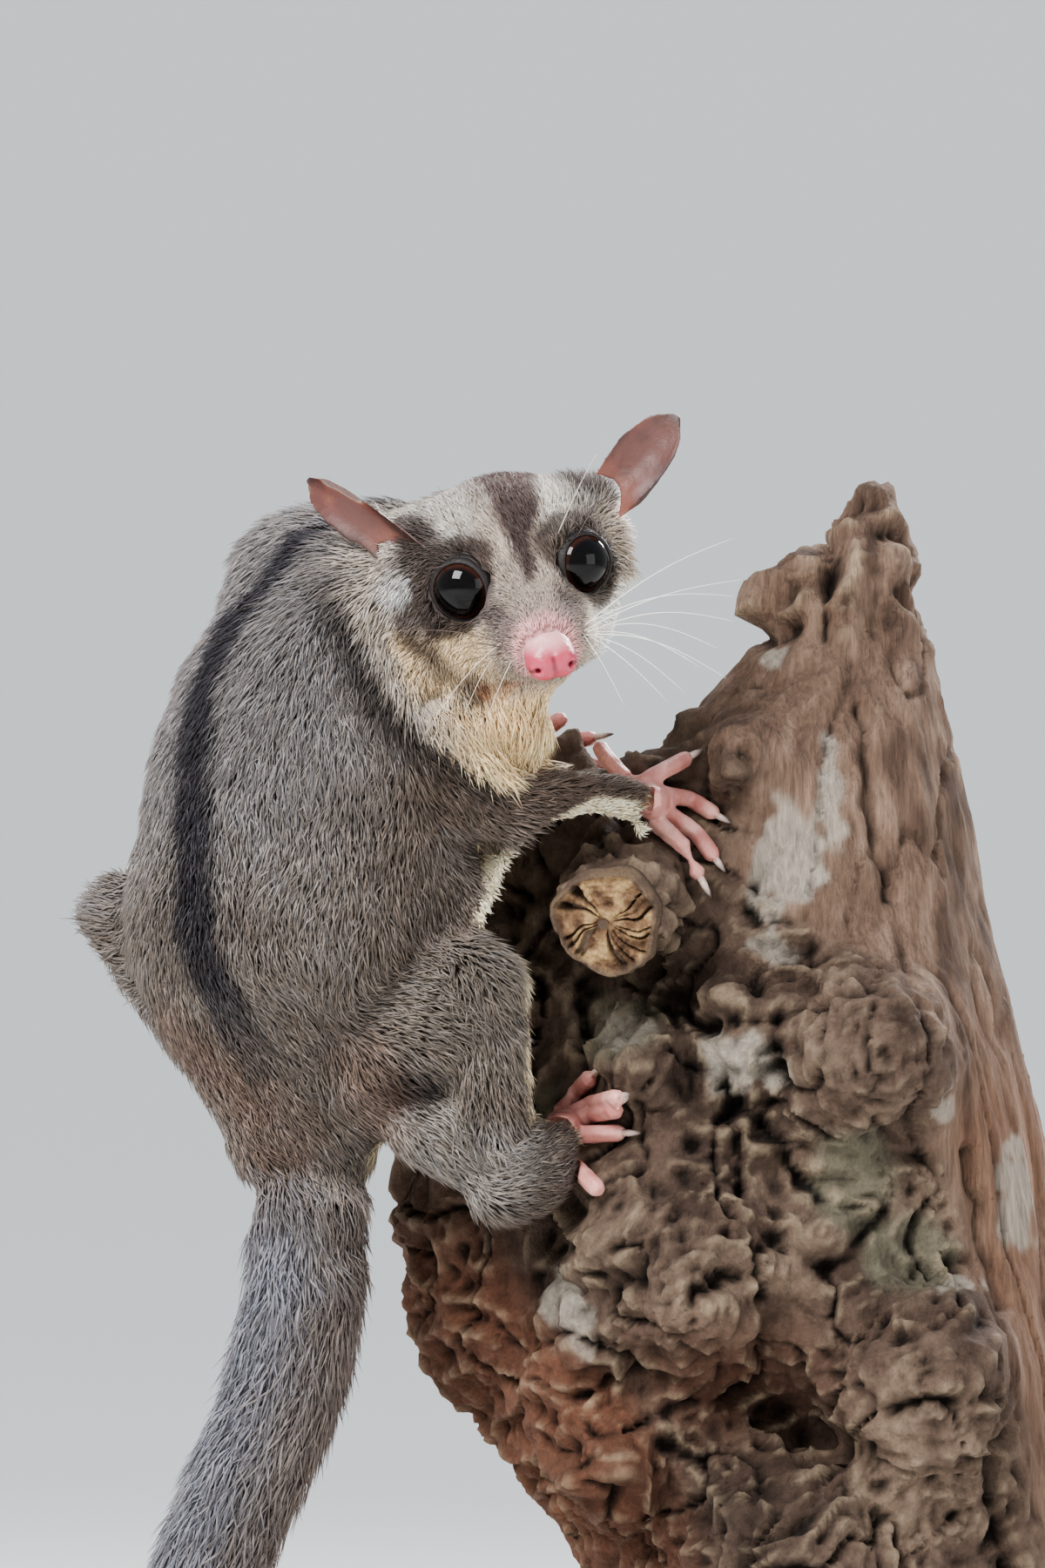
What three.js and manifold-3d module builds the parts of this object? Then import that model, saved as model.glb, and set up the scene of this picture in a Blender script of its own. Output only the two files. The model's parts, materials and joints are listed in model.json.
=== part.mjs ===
// A life-size sugar glider that clings to a cut length of gnarled trunk and looks back over its right
// shoulder, on a plain display stand. Millimetres, +X to the picture's right, +Y away, +Z up.
// The flesh is one field of tapered limbs melted together, then parted into named solids.

import * as THREE from "three";
import { mergeVertices } from "three/addons/utils/BufferGeometryUtils.js";
import Module from "manifold-3d";

const wasm = await Module();
wasm.setup();
const { Manifold, Mesh } = wasm;

// Driving dimensions
const GAP = 0.3; // clearance between solids that meet
const BASE = { width: 186, depth: 116, height: 10, corner: 12 };
const BASE_CENTRE = [12, 16]; // the point of the animal's own frame that stands over the base's centre
const ROD_RADIUS = 4;
const ROD_PLACES = { stand_rod_left: [34, 24], stand_rod_right: [76, 24] };
const TRUNK_FOOT = 103; // height of the trunk's sawn lower end
const EYE_RADIUS = 4.7;
const EYE_SIDE = 8.1; // from the middle of the head to the centre of an eyeball
const LID = { radius: 4.3, thickness: 0.75, forward: 2.4 };
const EAR_THICKNESS = 1.1;
const FINGER = 1.4; // radius of a finger at its root
const TOE = 1.5;
const CLAW = { radius: 0.5, length: 2.3 };
const NOSTRIL_RADIUS = 0.7;
const MOUTH_GROOVE = 0.5;

// Size of the net that each surface is meshed with, and how far thinning may move it
const NET = { coarse: 3.8, limb: 2.5, small: 2.05, wood: 5.6, palm: 2 };
const THINNING = { coarse: 0.5, limb: 0.36, small: 0.28, wood: 0.8, fine: 0.12, after: 0.12 };

// Vector helpers
const plus = (a, b, s = 1) => [a[0] + s * b[0], a[1] + s * b[1], a[2] + s * b[2]];
const minus = (a, b) => plus(a, b, -1);
const times = (a, s) => a.map((v) => v * s);
const dot = (a, b) => a[0] * b[0] + a[1] * b[1] + a[2] * b[2];
const cross = (a, b) => [a[1] * b[2] - a[2] * b[1], a[2] * b[0] - a[0] * b[2], a[0] * b[1] - a[1] * b[0]];
const length = (a) => Math.hypot(a[0], a[1], a[2]);
const unit = (a) => times(a, 1 / length(a));
const mix = (a, b, t) => a + (b - a) * t;
const clamp = (v, low, high) => Math.min(high, Math.max(low, v));

// Fields. Each takes a point and gives its distance from a shape.
function limb(a, radiusA, b, radiusB) {
  const along = minus(b, a);
  const span = dot(along, along) + 1e-9;
  const slope = (radiusA - radiusB) / Math.sqrt(span);
  const lean = slope / Math.sqrt(Math.max(0.05, 1 - slope * slope)) / Math.sqrt(span);
  return (p) => {
    const away = minus(p, a);
    const raw = dot(away, along) / span;
    const side = length(plus(away, along, -raw));
    const t = clamp(raw - side * lean, 0, 1);
    return length(plus(away, along, -t)) - mix(radiusA, radiusB, t);
  };
}

function ball(centre, radius) {
  return (p) => length(minus(p, centre)) - radius;
}

// A run of limbs through points that each hold x, y, z and a radius
function limbsAlong(points) {
  return points.slice(1).map((b, i) => limb(points[i].slice(0, 3), points[i][3], b.slice(0, 3), b[3]));
}

function chain(points) {
  const links = limbsAlong(points);
  return (p) => links.reduce((nearest, link) => Math.min(nearest, link(p)), 1e9);
}

// An ellipsoid whose half-sizes lie along the three given axes
function ellipsoid(centre, axes, halves) {
  return (p) => {
    const away = minus(p, centre);
    const local = axes.map((axis) => dot(away, axis));
    const near = Math.hypot(...local.map((v, i) => v / halves[i]));
    const steep = Math.hypot(...local.map((v, i) => v / halves[i] ** 2));
    return steep < 1e-6 ? -Math.min(...halves) : (near * (near - 1)) / steep;
  };
}

function melt(a, b, blend) {
  const share = clamp(0.5 + (0.5 * (b - a)) / blend, 0, 1);
  return mix(b, a, share) - blend * share * (1 - share);
}

function together(shapes, blend) {
  return (p) => shapes.reduce((sum, shape) => melt(sum, shape(p), blend), 1e3);
}

// The head has its own frame: right, forward and up, from the point between the eyeballs
const HEAD_AT = [-0.2, -20.5, 254.2];
const FORWARD = unit([0.165, -0.937, -0.309]);
const HEAD_LEAN = [-0.21, 0, 0.95];
const HEAD_UP = unit(plus(HEAD_LEAN, FORWARD, -dot(HEAD_LEAN, FORWARD)));
const HEAD_RIGHT = cross(FORWARD, HEAD_UP);
const HEAD_AXES = [HEAD_RIGHT, FORWARD, HEAD_UP];
const onHead = (right, forward, up) =>
  plus(plus(plus(HEAD_AT, HEAD_RIGHT, right), FORWARD, forward), HEAD_UP, up);
const SIDES = { right: 1, left: -1 };
const bothSides = (make) => Object.values(SIDES).map(make);

// Flesh, out to the tips of its coat: one group of shapes for each named part. A group's claim widens
// its share where groups overlap, net and thinning set its mesh, and box is where it may lie.
const groups = {
  torso: {
    blend: 5,
    net: NET.coarse,
    thinning: THINNING.coarse,
    box: [[-64, -30, 150], [12, 32, 284]],
    shapes: [
      limb([-27, 0, 231], 25, [-21, 0, 243], 20.4),
      limb([-22, 0, 242], 18.6, [-30.2, 8, 252.4], 13.6),
      limb([-14, -8, 230], 13.5, [-10, 6, 225], 14),
      limb([-30, 0, 219], 25.6, [-31, 0, 206], 25.8),
      limb([-31.5, 0, 204], 25, [-31.8, 0, 193], 20),
      limb([-31, 0, 184], 14, [-31, -1.5, 169], 11),
    ],
  },
  neck: {
    blend: 4,
    net: 3.2,
    thinning: THINNING.coarse,
    box: [[-42, -34, 212], [16, 18, 276]],
    shapes: [
      limb([-19, 0, 250.5], 15.4, [-11, -3, 253], 14),
      ball([-11.6, -8, 243.6], 14.4),
      limb([-2.6, -16, 237.4], 9.6, [-6, -9, 230], 10),
    ],
  },
  head: {
    blend: 2.6,
    claim: 4,
    net: NET.small,
    thinning: THINNING.small,
    box: [[-27, -46, 226], [29, 6, 276]],
    shapes: [
      ellipsoid(onHead(0, -11, 1), HEAD_AXES, [14.8, 14, 10.9]),
      ellipsoid(onHead(0, -4.5, -5), HEAD_AXES, [14, 10, 8.2]),
      limb(onHead(0, 2, -3.4), 7.4, onHead(0, 15.4, -6.6), 3.9),
      limb(onHead(0, -6, -9), 8, onHead(0, 10.5, -10.4), 3.2),
      ...bothSides((side) => limb(onHead(side * 11, -6, -4.6), 5.2, onHead(side * 7.2, -1, -11), 4.8)),
      ...bothSides((side) => limb(onHead(side * 5.2, 7.5, -7.4), 4.4, onHead(side * 2.3, 13.6, -8.2), 3)),
      ...bothSides((side) => ball(onHead(side * 7.6, -1.6, 0.4), 5.3)),
      ...bothSides((side) => limb(onHead(side * 10.5, -10, 3), 6, onHead(side * 14.4, -11.4, 4.8), 3.8)),
    ],
  },
  upper_arm_right: {
    blend: 4,
    box: [[-26, -28, 210], [10, 4, 246]],
    shapes: [limb([-11, -13, 231], 10.5, [-4, -15.5, 221.5], 6.6)],
  },
  forearm_right: {
    blend: 2.5,
    box: [[-12, -24, 210], [24, -2, 234]],
    shapes: [
      chain([
        [-3, -15.5, 220.6, 6.2],
        [4, -14.5, 222.8, 4.4],
        [11, -12.5, 223.8, 3.5],
        [16.4, -9.6, 222.6, 3.1],
      ]),
    ],
  },
  upper_arm_left: {
    blend: 4,
    net: 3,
    box: [[-42, 0, 226], [-6, 36, 262]],
    shapes: [limb([-27, 12, 247], 11, [-17, 24, 238], 7)],
  },
  forearm_left: {
    blend: 3,
    box: [[-26, 14, 220], [6, 42, 248]],
    shapes: [limb([-16, 25, 237], 6, [-1.5, 34, 229.6], 3.2)],
  },
  thigh_right: {
    blend: 3.2,
    net: 3,
    box: [[-40, -28, 168], [6, 10, 212]],
    shapes: [
      limb([-21, -6, 188.5], 14, [-7.4, -15.5, 195.6], 9.2),
      limb([-20, -8, 184], 11, [-8, -15.5, 191], 8.6),
    ],
  },
  shin_right: {
    blend: 1.8,
    box: [[-26, -28, 158], [6, -4, 206]],
    shapes: [
      limb([-6.4, -16, 193.5], 8.2, [-3.6, -15, 172], 6),
      limb([-15, -13, 176], 6.8, [-9.5, -14, 172.5], 6.2),
    ],
  },
  heel_right: {
    blend: 1.8,
    box: [[-14, -24, 156], [12, -2, 182]],
    shapes: [
      limb([-3.2, -13.5, 167.4], 7.2, [1.6, -12, 168.6], 6),
      limb([1.2, -12, 168.6], 6, [4.6, -10.4, 173.4], 4.1),
    ],
  },
  thigh_left: {
    blend: 5,
    net: 3.4,
    box: [[-70, -10, 172], [-20, 28, 218]],
    shapes: [limb([-38, 6, 193], 13.5, [-57.2, 12, 205.4], 8)],
  },
  shin_left: {
    blend: 3,
    net: 3,
    box: [[-70, 2, 174], [-34, 34, 216]],
    shapes: [limb([-57, 13, 204.4], 7.4, [-46, 22, 188.4], 7.5)],
  },
  heel_left: {
    blend: 3,
    net: 2.6,
    box: [[-56, 12, 172], [-12, 40, 198]],
    shapes: [
      chain([
        [-45, 23, 187.6, 6.8],
        [-33.2, 27, 183, 5],
        [-20, 31.5, 182.4, 3.6],
      ]),
    ],
  },
  patagium_right: {
    blend: 1.6,
    net: 1.9,
    slot: "pale",
    box: [[-16, -22, 196], [24, -4, 228]],
    shapes: [
      chain([
        [18.2, -9.4, 216.8, 1.5],
        [14.2, -11.2, 219.6, 1.9],
        [8.6, -12.8, 221, 2.1],
        [3.4, -13.6, 219.4, 2.3],
        [-0.8, -13, 216.4, 2.4],
      ]),
      chain([
        [-2.2, -12.6, 215.6, 2.3],
        [-3.2, -12, 211.6, 2.6],
        [-5.2, -12.6, 206.4, 2.5],
        [-8.5, -14, 202.4, 2.5],
      ]),
    ],
  },
  patagium_left: {
    blend: 2.5,
    net: 2.8,
    slot: "pale",
    box: [[-58, 10, 194], [2, 36, 240]],
    shapes: [
      chain([
        [-4, 29, 228.6, 1.8],
        [-14, 27, 231, 2.6],
        [-30, 24, 226, 3.4],
        [-41, 21.5, 214, 3.8],
        [-48, 19, 203, 3.6],
      ]),
    ],
  },
  nose: {
    blend: 1,
    claim: 4.6,
    net: 0.85,
    thinning: 0.06,
    slot: "skin",
    box: [[-2, -46, 236], [12, -32, 252]],
    shapes: [
      ...bothSides((side) => ellipsoid(onHead(side * 1.45, 18.8, -7.3), HEAD_AXES, [2.2, 2.6, 2.5])),
      ellipsoid(onHead(0, 17.1, -5.7), HEAD_AXES, [3.1, 2.8, 2.2]),
    ],
  },
};

// The tail hangs from the rump: centre line and radius. It is parted across the numbered points.
const TAIL = [
  [-31, -2, 169, 10.8],
  [-30.6, -3, 162, 10.9],
  [-31.4, -4, 149.6, 10.9],
  [-34.4, -4.5, 137, 10.7],
  [-39.4, -5, 124.6, 10.5],
  [-45, -5, 112, 10.2],
  [-50.3, -4.6, 98.4, 9.6],
  [-53.8, -4, 84.6, 8.9],
  [-55.3, -3.2, 70.9, 8.1],
  [-55, -2.2, 57, 7.2],
  [-53.5, -1.4, 43.4, 6.1],
  [-51.4, -0.6, 30, 4.6],
  [-49.6, 0, 16.6, 1.5],
];
const TAIL_CUTS = [3, 6, 9];
const WAIST = { point: [-30, 0, 219], way: [0.08, 0, 1] }; // where front and rear torso meet
groups.tail = {
  blend: 2.5,
  net: NET.coarse,
  box: [[-70, -18, 8], [-14, 12, 184]],
  shapes: [chain(TAIL)],
};

for (const group of Object.values(groups)) group.field = together(group.shapes, group.blend);
const names = Object.keys(groups);

// The whole body, and the part of it that lies nearest to one group
function bodyField(p) {
  return names.reduce((sum, name) => melt(sum, groups[name].field(p), groups[name].blend), 1e3);
}

function partField(own) {
  const shareOf = (name, p) => groups[name].field(p) - (groups[name].claim ?? 0);
  const others = names.filter((name) => name !== own);
  const lead = (p) => shareOf(own, p) - others.reduce((best, name) => Math.min(best, shareOf(name, p)), 1e3);
  const reach = 0.4;
  return (p) => {
    const here = lead(p);
    const body = bodyField(p);
    if (Math.abs(here) > 10 * reach || body > 10 * reach) return Math.max(body, here);
    const slopes = [0, 1, 2].map((n) => (lead(p.map((v, i) => v + (i === n) * reach)) - here) / reach);
    return Math.max(body, here / Math.max(0.12, length(slopes)) + GAP / 2);
  };
}

// The trunk: a leaning column and a lobe that carries the animal, with burls, a stub and hollows
const COLUMN = [
  [57, 26, 92, 39],
  [42, 25, 150, 37.5],
  [41, 24, 178, 34],
  [40, 24, 205, 27.5],
  [43.5, 24, 226, 20],
  [47.2, 24, 240, 13.6],
  [46.6, 25, 250, 11.8],
  [49.2, 26, 258, 8],
  [50.4, 26, 264.6, 4.4],
];
const LOBE = [
  [41.4, 25, 118, 30],
  [18, 24, 142, 25.4],
  [7, 23, 153, 24.5],
  [0, 22, 168, 19.5],
  [4, 24, 196, 15],
  [12, 23, 214, 12.5],
];
const BURLS = [
  limb([26, 16, 227], 6, [15.4, 3, 226], 4.6),
  limb([34, 12, 228], 7, [31.6, 2, 228.4], 5.2),
  limb([44, 24, 248], 6, [37.6, 22, 252.6], 3.8),
  limb([34, 20, 236], 6.4, [25, 17, 230.4], 5),
  limb([48, 10, 188], 12, [50.4, -8, 186.4], 10.4),
  limb([34, 6, 192], 9, [32, -6, 190], 7.4),
  limb([18, 4, 184], 8, [16.4, -8.5, 183], 4.8),
  limb([26, 4, 173], 9, [24, -8, 172.6], 5.2),
  limb([14, 4, 166], 12, [14.4, -9, 162.4], 7),
  limb([40, 8, 156], 15, [24, -12, 152], 10),
  limb([30, 2, 150], 12, [10, -7, 146], 6.5),
  limb([58, 2, 140], 15, [58, -9, 139], 11.5),
  limb([40, 6, 116], 20, [40, -10, 112], 13),
  limb([14, 8, 136], 14, [12, -2, 128], 8),
  limb([4, 30, 224], 7, [8.2, 29, 231], 3.4),
];
const HOLLOWS = [
  limb([33, -24, 131], 7, [40, -4, 133], 6),
  limb([26, -30, 138], 5, [34, -8, 137], 6.5),
];
const STUB_FACE = [12, -17.5, 205];
const STUB_WAY = unit([-0.22, -0.94, -0.26]);
const STUB = { length: 22, root: 9, face: 8 };
const stubBody = limb(plus(STUB_FACE, STUB_WAY, -STUB.length), STUB.root, STUB_FACE, STUB.face);
const trunkBody = together([chain(COLUMN), chain(LOBE), ...BURLS], 4);

function roughness(p, scale) {
  const [x, y, z] = times(p, 1 / scale);
  const across = Math.sin(x * 1.7 + Math.sin(y * 1.3 + z * 0.7) * 1.4);
  const away = Math.cos(y * 1.9 + Math.sin(z * 1.1) * 1.6);
  return across * away + Math.sin(z * 1.6 + Math.sin(x * 1.2) * 1.5) * 0.6;
}

function trunkField(p) {
  const bark = 0.9 * roughness(p, 12);
  const stub = Math.max(stubBody(p), dot(minus(p, STUB_FACE), STUB_WAY));
  const wood = melt(trunkBody(p) + bark, stub, 2.4);
  return HOLLOWS.reduce((left, hollow) => Math.max(left, -hollow(p)), wood);
}

// The point on the bark's near or far side at (x, z), left clear by the given distance
function barkFinder(start, pace) {
  return (x, z, clear) => {
    let y = start;
    for (let i = 0; i < 600 && trunkField([x, y, z]) > clear; i++) y += pace;
    return [x, y, z];
  };
}
const onBark = barkFinder(-45, 0.2);
const behindBark = barkFinder(75, -0.2);

// The cell's corners and edges, and for each pattern of corner signs the sheets of surface in the cell,
// each as the edges it crosses
const CORNERS = [0, 1, 2, 3, 4, 5, 6, 7].map((c) => [c & 1, (c >> 1) & 1, c >> 2]);
const EDGES = [];
const EDGE_AT = CORNERS.map(() => []);
for (let axis = 0; axis < 3; axis++)
  for (let a = 0; a < 8; a++) {
    if (a & (1 << axis)) continue;
    EDGE_AT[a][axis] = EDGES.length;
    EDGES.push([a, a | (1 << axis)]);
  }
const edgeOf = (a, b) => EDGE_AT[Math.min(a, b)][Math.log2(a ^ b)];

function sheetsOf(signs) {
  const home = EDGES.map((_, i) => i);
  const rootOf = (i) => (home[i] === i ? i : rootOf(home[i]));
  for (let axis = 0; axis < 3; axis++)
    for (const side of [0, 1]) {
      const [u, w] = [1 << ((axis + 1) % 3), 1 << ((axis + 2) % 3)];
      const start = side << axis;
      const ring = [start, start | u, start | u | w, start | w];
      const inside = ring.map((c) => (signs >> c) & 1);
      const edges = ring.map((c, i) => edgeOf(c, ring[(i + 1) % 4]));
      const crossed = edges.filter((_, i) => inside[i] !== inside[(i + 1) % 4]);
      if (crossed.length === 2) home[rootOf(crossed[0])] = rootOf(crossed[1]);
      if (crossed.length === 4)
        inside.forEach((within, i) => {
          if (within) home[rootOf(edges[i])] = rootOf(edges[(i + 3) % 4]);
        });
    }
  const sheets = {};
  EDGES.forEach(([a, b], i) => {
    if (((signs >> a) & 1) !== ((signs >> b) & 1)) (sheets[rootOf(i)] ??= []).push(i);
  });
  return Object.values(sheets);
}
const SHEETS = Array.from({ length: 256 }, (_, signs) => sheetsOf(signs));

// Mesh a field by surface nets: one vertex for each sheet of surface in each cell
function netOf(field, low, high, step) {
  const count = low.map((v, i) => Math.ceil((high[i] - v) / step) + 4);
  const [nx, ny, nz] = count;
  const value = new Float32Array(nx * ny * nz);
  const at = (i, j, k) => (k * ny + j) * nx + i;
  const placeOf = (i, j, k) => [low[0] + i * step, low[1] + j * step, low[2] + k * step];
  const edge = (i, n) => i < 2 || i > n - 3;
  for (let k = 0; k < nz; k++)
    for (let j = 0; j < ny; j++)
      for (let i = 0; i < nx; i++) {
        const outer = edge(i, nx) || edge(j, ny) || edge(k, nz);
        value[at(i, j, k)] = outer ? 1 : field(placeOf(i, j, k));
      }
  const cells = new Map();
  const points = [];
  for (let k = 0; k < nz - 1; k++)
    for (let j = 0; j < ny - 1; j++)
      for (let i = 0; i < nx - 1; i++) {
        const v = CORNERS.map(([a, b, c]) => value[at(i + a, j + b, k + c)]);
        const signs = v.reduce((sum, height, c) => sum | (height < 0 ? 1 << c : 0), 0);
        if (signs === 0 || signs === 255) continue;
        const owner = new Int32Array(12).fill(-1);
        for (const sheet of SHEETS[signs]) {
          const sum = [0, 0, 0];
          for (const edge of sheet) {
            const [a, b] = EDGES[edge];
            const t = v[a] / (v[a] - v[b]);
            for (let n = 0; n < 3; n++) sum[n] += mix(CORNERS[a][n], CORNERS[b][n], t) / sheet.length;
            owner[edge] = points.length;
          }
          points.push([i, j, k].map((c, n) => low[n] + (c + sum[n]) * step));
        }
        cells.set(at(i, j, k), owner);
      }
  const faces = [];
  for (let k = 1; k < nz - 1; k++)
    for (let j = 1; j < ny - 1; j++)
      for (let i = 1; i < nx - 1; i++)
        for (let axis = 0; axis < 3; axis++) {
          const next = [i, j, k];
          next[axis]++;
          const inside = value[at(i, j, k)] < 0;
          if (inside === value[at(...next)] < 0) continue;
          const u = (axis + 1) % 3;
          const w = (axis + 2) % 3;
          const ring = [
            [0, 0],
            [1, 0],
            [1, 1],
            [0, 1],
          ].map(([a, b]) => {
            const c = [i, j, k];
            c[u] -= a;
            c[w] -= b;
            return cells.get(at(...c))[EDGE_AT[(a << u) | (b << w)][axis]];
          });
          if (!inside) ring.reverse();
          const [a, b, c, d] = ring;
          const shorter = length(plus(points[a], points[c], -1)) < length(plus(points[b], points[d], -1));
          if (shorter) faces.push(a, b, c, a, c, d);
          else faces.push(b, c, d, b, d, a);
        }
  return solidFrom(points.flat(), faces);
}

// A solid's largest closed piece
function largest(solid) {
  const pieces = solid.decompose();
  return pieces.reduce((best, piece) => (piece.volume() > best.volume() ? piece : best), pieces[0]);
}

// A closed mesh as a solid, turned the right way out
function solidFrom(positions, faces) {
  const vertProperties = new Float32Array(positions);
  const solid = new Manifold(new Mesh({ numProp: 3, vertProperties, triVerts: new Uint32Array(faces) }));
  if (solid.volume() > 0) return largest(solid);
  const triVerts = new Uint32Array(faces.length);
  for (let i = 0; i < faces.length; i += 3) triVerts.set([faces[i], faces[i + 2], faces[i + 1]], i);
  return largest(new Manifold(new Mesh({ numProp: 3, vertProperties, triVerts })));
}

// A three.js geometry as a solid
function solidOf(geometry, matrix = new THREE.Matrix4()) {
  const bare = (geometry.index ? geometry.toNonIndexed() : geometry.clone()).applyMatrix4(matrix);
  bare.deleteAttribute("normal");
  bare.deleteAttribute("uv");
  const merged = mergeVertices(bare, 1e-4);
  return solidFrom(merged.attributes.position.array, merged.index.array);
}

function geometryOf(solid) {
  const mesh = solid.getMesh();
  const geometry = new THREE.BufferGeometry();
  geometry.setAttribute("position", new THREE.BufferAttribute(mesh.vertProperties.slice(), 3));
  geometry.setIndex(new THREE.BufferAttribute(mesh.triVerts.slice(), 1));
  geometry.computeVertexNormals();
  return geometry;
}

// The net of a field, moved a little where the grid meets the surface badly
function meshOf(field, low, high, step) {
  const shifts = [0, 0.31, 0.17, 0.43, 0.07];
  for (const shift of shifts) {
    try {
      return netOf(field, low.map((v) => v - (2 + shift) * step), high.map((v) => v + step), step);
    } catch (error) {
      if (shift === shifts.at(-1)) throw error;
    }
  }
}

const flesh = (name) => meshOf(partField(name), ...groups[name].box, groups[name].net ?? NET.limb);
const thinned = (solid, tolerance) => largest(solid.asOriginal().simplify(tolerance));

// A tapered tube through points that each hold x, y, z and a radius
function tube(points, sides = 6) {
  const positions = [];
  const faces = [];
  const last = points.length - 1;
  points.forEach((point, i) => {
    const along = unit(minus(points[Math.min(last, i + 1)], points[Math.max(0, i - 1)]));
    const hint = Math.abs(along[2]) > 0.8 ? [0, 1, 0] : [0, 0, 1];
    const across = unit(cross(along, hint));
    const over = cross(across, along);
    for (let s = 0; s < sides; s++) {
      const angle = (2 * Math.PI * s) / sides;
      const out = plus(times(across, Math.cos(angle)), over, Math.sin(angle));
      positions.push(...plus(point, out, point[3]));
      const next = (s + 1) % sides;
      const [a, b] = [i * sides + s, i * sides + next];
      if (i < last) faces.push(a, b, b + sides, a, b + sides, a + sides);
      if (i === 0) faces.push((last + 1) * sides, b, a);
      if (i === last) faces.push((last + 1) * sides + 1, a, b);
    }
  });
  positions.push(...points[0].slice(0, 3), ...points[last].slice(0, 3));
  return solidFrom(positions, faces);
}

// A digit runs over the bark from its root to its tip. The claw at its end is slightly hooked.
function digit(path, place, radius, clawed) {
  const [root, middle, tip] = path.map(([x, z]) => place(x, z, radius * 0.85));
  const way = unit(minus(tip, middle));
  const finger = tube([
    [...root, radius * 1.1],
    [...middle, radius * 0.96],
    [...tip, radius * 0.94],
    [...plus(tip, way, radius * 0.7), radius * 0.55],
  ]);
  if (!clawed) return finger;
  const claw = tube(
    [
      [...plus(tip, plus(times(way, 0.2), [0, -0.5, 0])), CLAW.radius],
      [...plus(tip, plus(times(way, CLAW.length * 0.65), [0, -0.7, 0])), CLAW.radius * 0.7],
      [...plus(tip, plus(times(way, CLAW.length), [0, -0.2, 0])), CLAW.radius * 0.25],
    ],
    3,
  );
  return finger.add(claw);
}

// A palm or sole with its digits; the first of them is a thumb with no claw
function paw(palm, digits, place, radius) {
  const low = [0, 1, 2].map((n) => Math.min(...palm.map((p) => p[n])) - 5);
  const high = [0, 1, 2].map((n) => Math.max(...palm.map((p) => p[n])) + 5);
  const body = meshOf(together(limbsAlong(palm), 1.2), low, high, NET.palm);
  return largest(digits.reduce((sum, path, i) => sum.add(digit(path, place, radius, i > 0)), body));
}

// An ear: a cupped leaf of skin from root to tip, open towards the given way
function ear({ root, tip, open, width, cup, curl }) {
  const reach = length(minus(tip, root));
  const up = unit(minus(tip, root));
  const facing = unit(plus(open, up, -dot(open, up)));
  const across = cross(up, facing);
  const cells = 8;
  const positions = [];
  for (const side of [0, 1])
    for (let r = 0; r <= cells; r++) {
      const t = r / cells;
      const half = (width / 2) * (0.66 + 0.95 * t - 0.5 * t * t) * Math.sqrt(Math.max(0.012, 1 - t ** 2.8));
      for (let c = 0; c <= cells; c++) {
        const s = (2 * c) / cells - 1;
        const bend = cup * (1 - 0.5 * t);
        const depth = (half / bend) * (1 - Math.cos(s * bend)) + curl * t * t;
        const skin = EAR_THICKNESS * mix(1, 0.55, t) * (1 - 0.35 * Math.abs(s));
        const spot = plus(plus(root, up, t * reach), across, (half / bend) * Math.sin(s * bend));
        positions.push(...plus(spot, facing, depth - side * skin));
      }
    }
  const index = (side, r, c) => (side * (cells + 1) + r) * (cells + 1) + c;
  const faces = [];
  const quad = (a, b, c, d) => faces.push(a, b, c, a, c, d);
  for (let r = 0; r < cells; r++)
    for (let c = 0; c < cells; c++) {
      quad(index(0, r + 1, c), index(0, r + 1, c + 1), index(0, r, c + 1), index(0, r, c));
      quad(index(1, r, c), index(1, r, c + 1), index(1, r + 1, c + 1), index(1, r + 1, c));
    }
  const rim = [];
  for (let c = 0; c < cells; c++) rim.push([0, c]);
  for (let r = 0; r < cells; r++) rim.push([r, cells]);
  for (let c = cells; c > 0; c--) rim.push([cells, c]);
  for (let r = cells; r > 0; r--) rim.push([r, 0]);
  rim.forEach((spot, i) => {
    const next = rim[(i + 1) % rim.length];
    quad(index(0, ...spot), index(0, ...next), index(1, ...next), index(1, ...spot));
  });
  return solidFrom(positions, faces);
}

// A matrix that turns the Z axis along the given way and moves it to a place
function turned(position, way) {
  const upright = new THREE.Vector3(0, 0, 1);
  const turn = new THREE.Quaternion().setFromUnitVectors(upright, new THREE.Vector3(...way));
  return new THREE.Matrix4().makeRotationFromQuaternion(turn).setPosition(...position);
}

const parts = new THREE.Group();
const animal = new THREE.Group();
animal.position.set(-BASE_CENTRE[0], -BASE_CENTRE[1], 0);
parts.add(animal);

const finish = {
  coat: new THREE.MeshStandardMaterial({ color: 0x8a8078, roughness: 0.9 }),
  pale: new THREE.MeshStandardMaterial({ color: 0xe6d9bd, roughness: 0.9 }),
  skin: new THREE.MeshStandardMaterial({ color: 0xd99a94, roughness: 0.6 }),
  eye: new THREE.MeshStandardMaterial({ color: 0x0c0a0c, roughness: 0.08 }),
  wood: new THREE.MeshStandardMaterial({ color: 0x6f5a4a, roughness: 0.95 }),
  steel: new THREE.MeshStandardMaterial({ color: 0x9a9c9e, roughness: 0.3, metalness: 1 }),
  plinth: new THREE.MeshStandardMaterial({ color: 0x3a2c22, roughness: 0.5 }),
};

// Cut a solid clear of others that are already made, by the gap on each side
const made = {};
function clearedOf(solid, others) {
  const ways = [[1, 0, 0], [0, 1, 0], [0, 0, 1]];
  const shifts = [[0, 0, 0], ...ways.flatMap((way) => [times(way, GAP), times(way, -GAP)])];
  const cutters = others.flatMap((other) => shifts.map((shift) => made[other].translate(shift)));
  return cutters.reduce((left, cutter) => left.subtract(cutter), solid);
}

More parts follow.
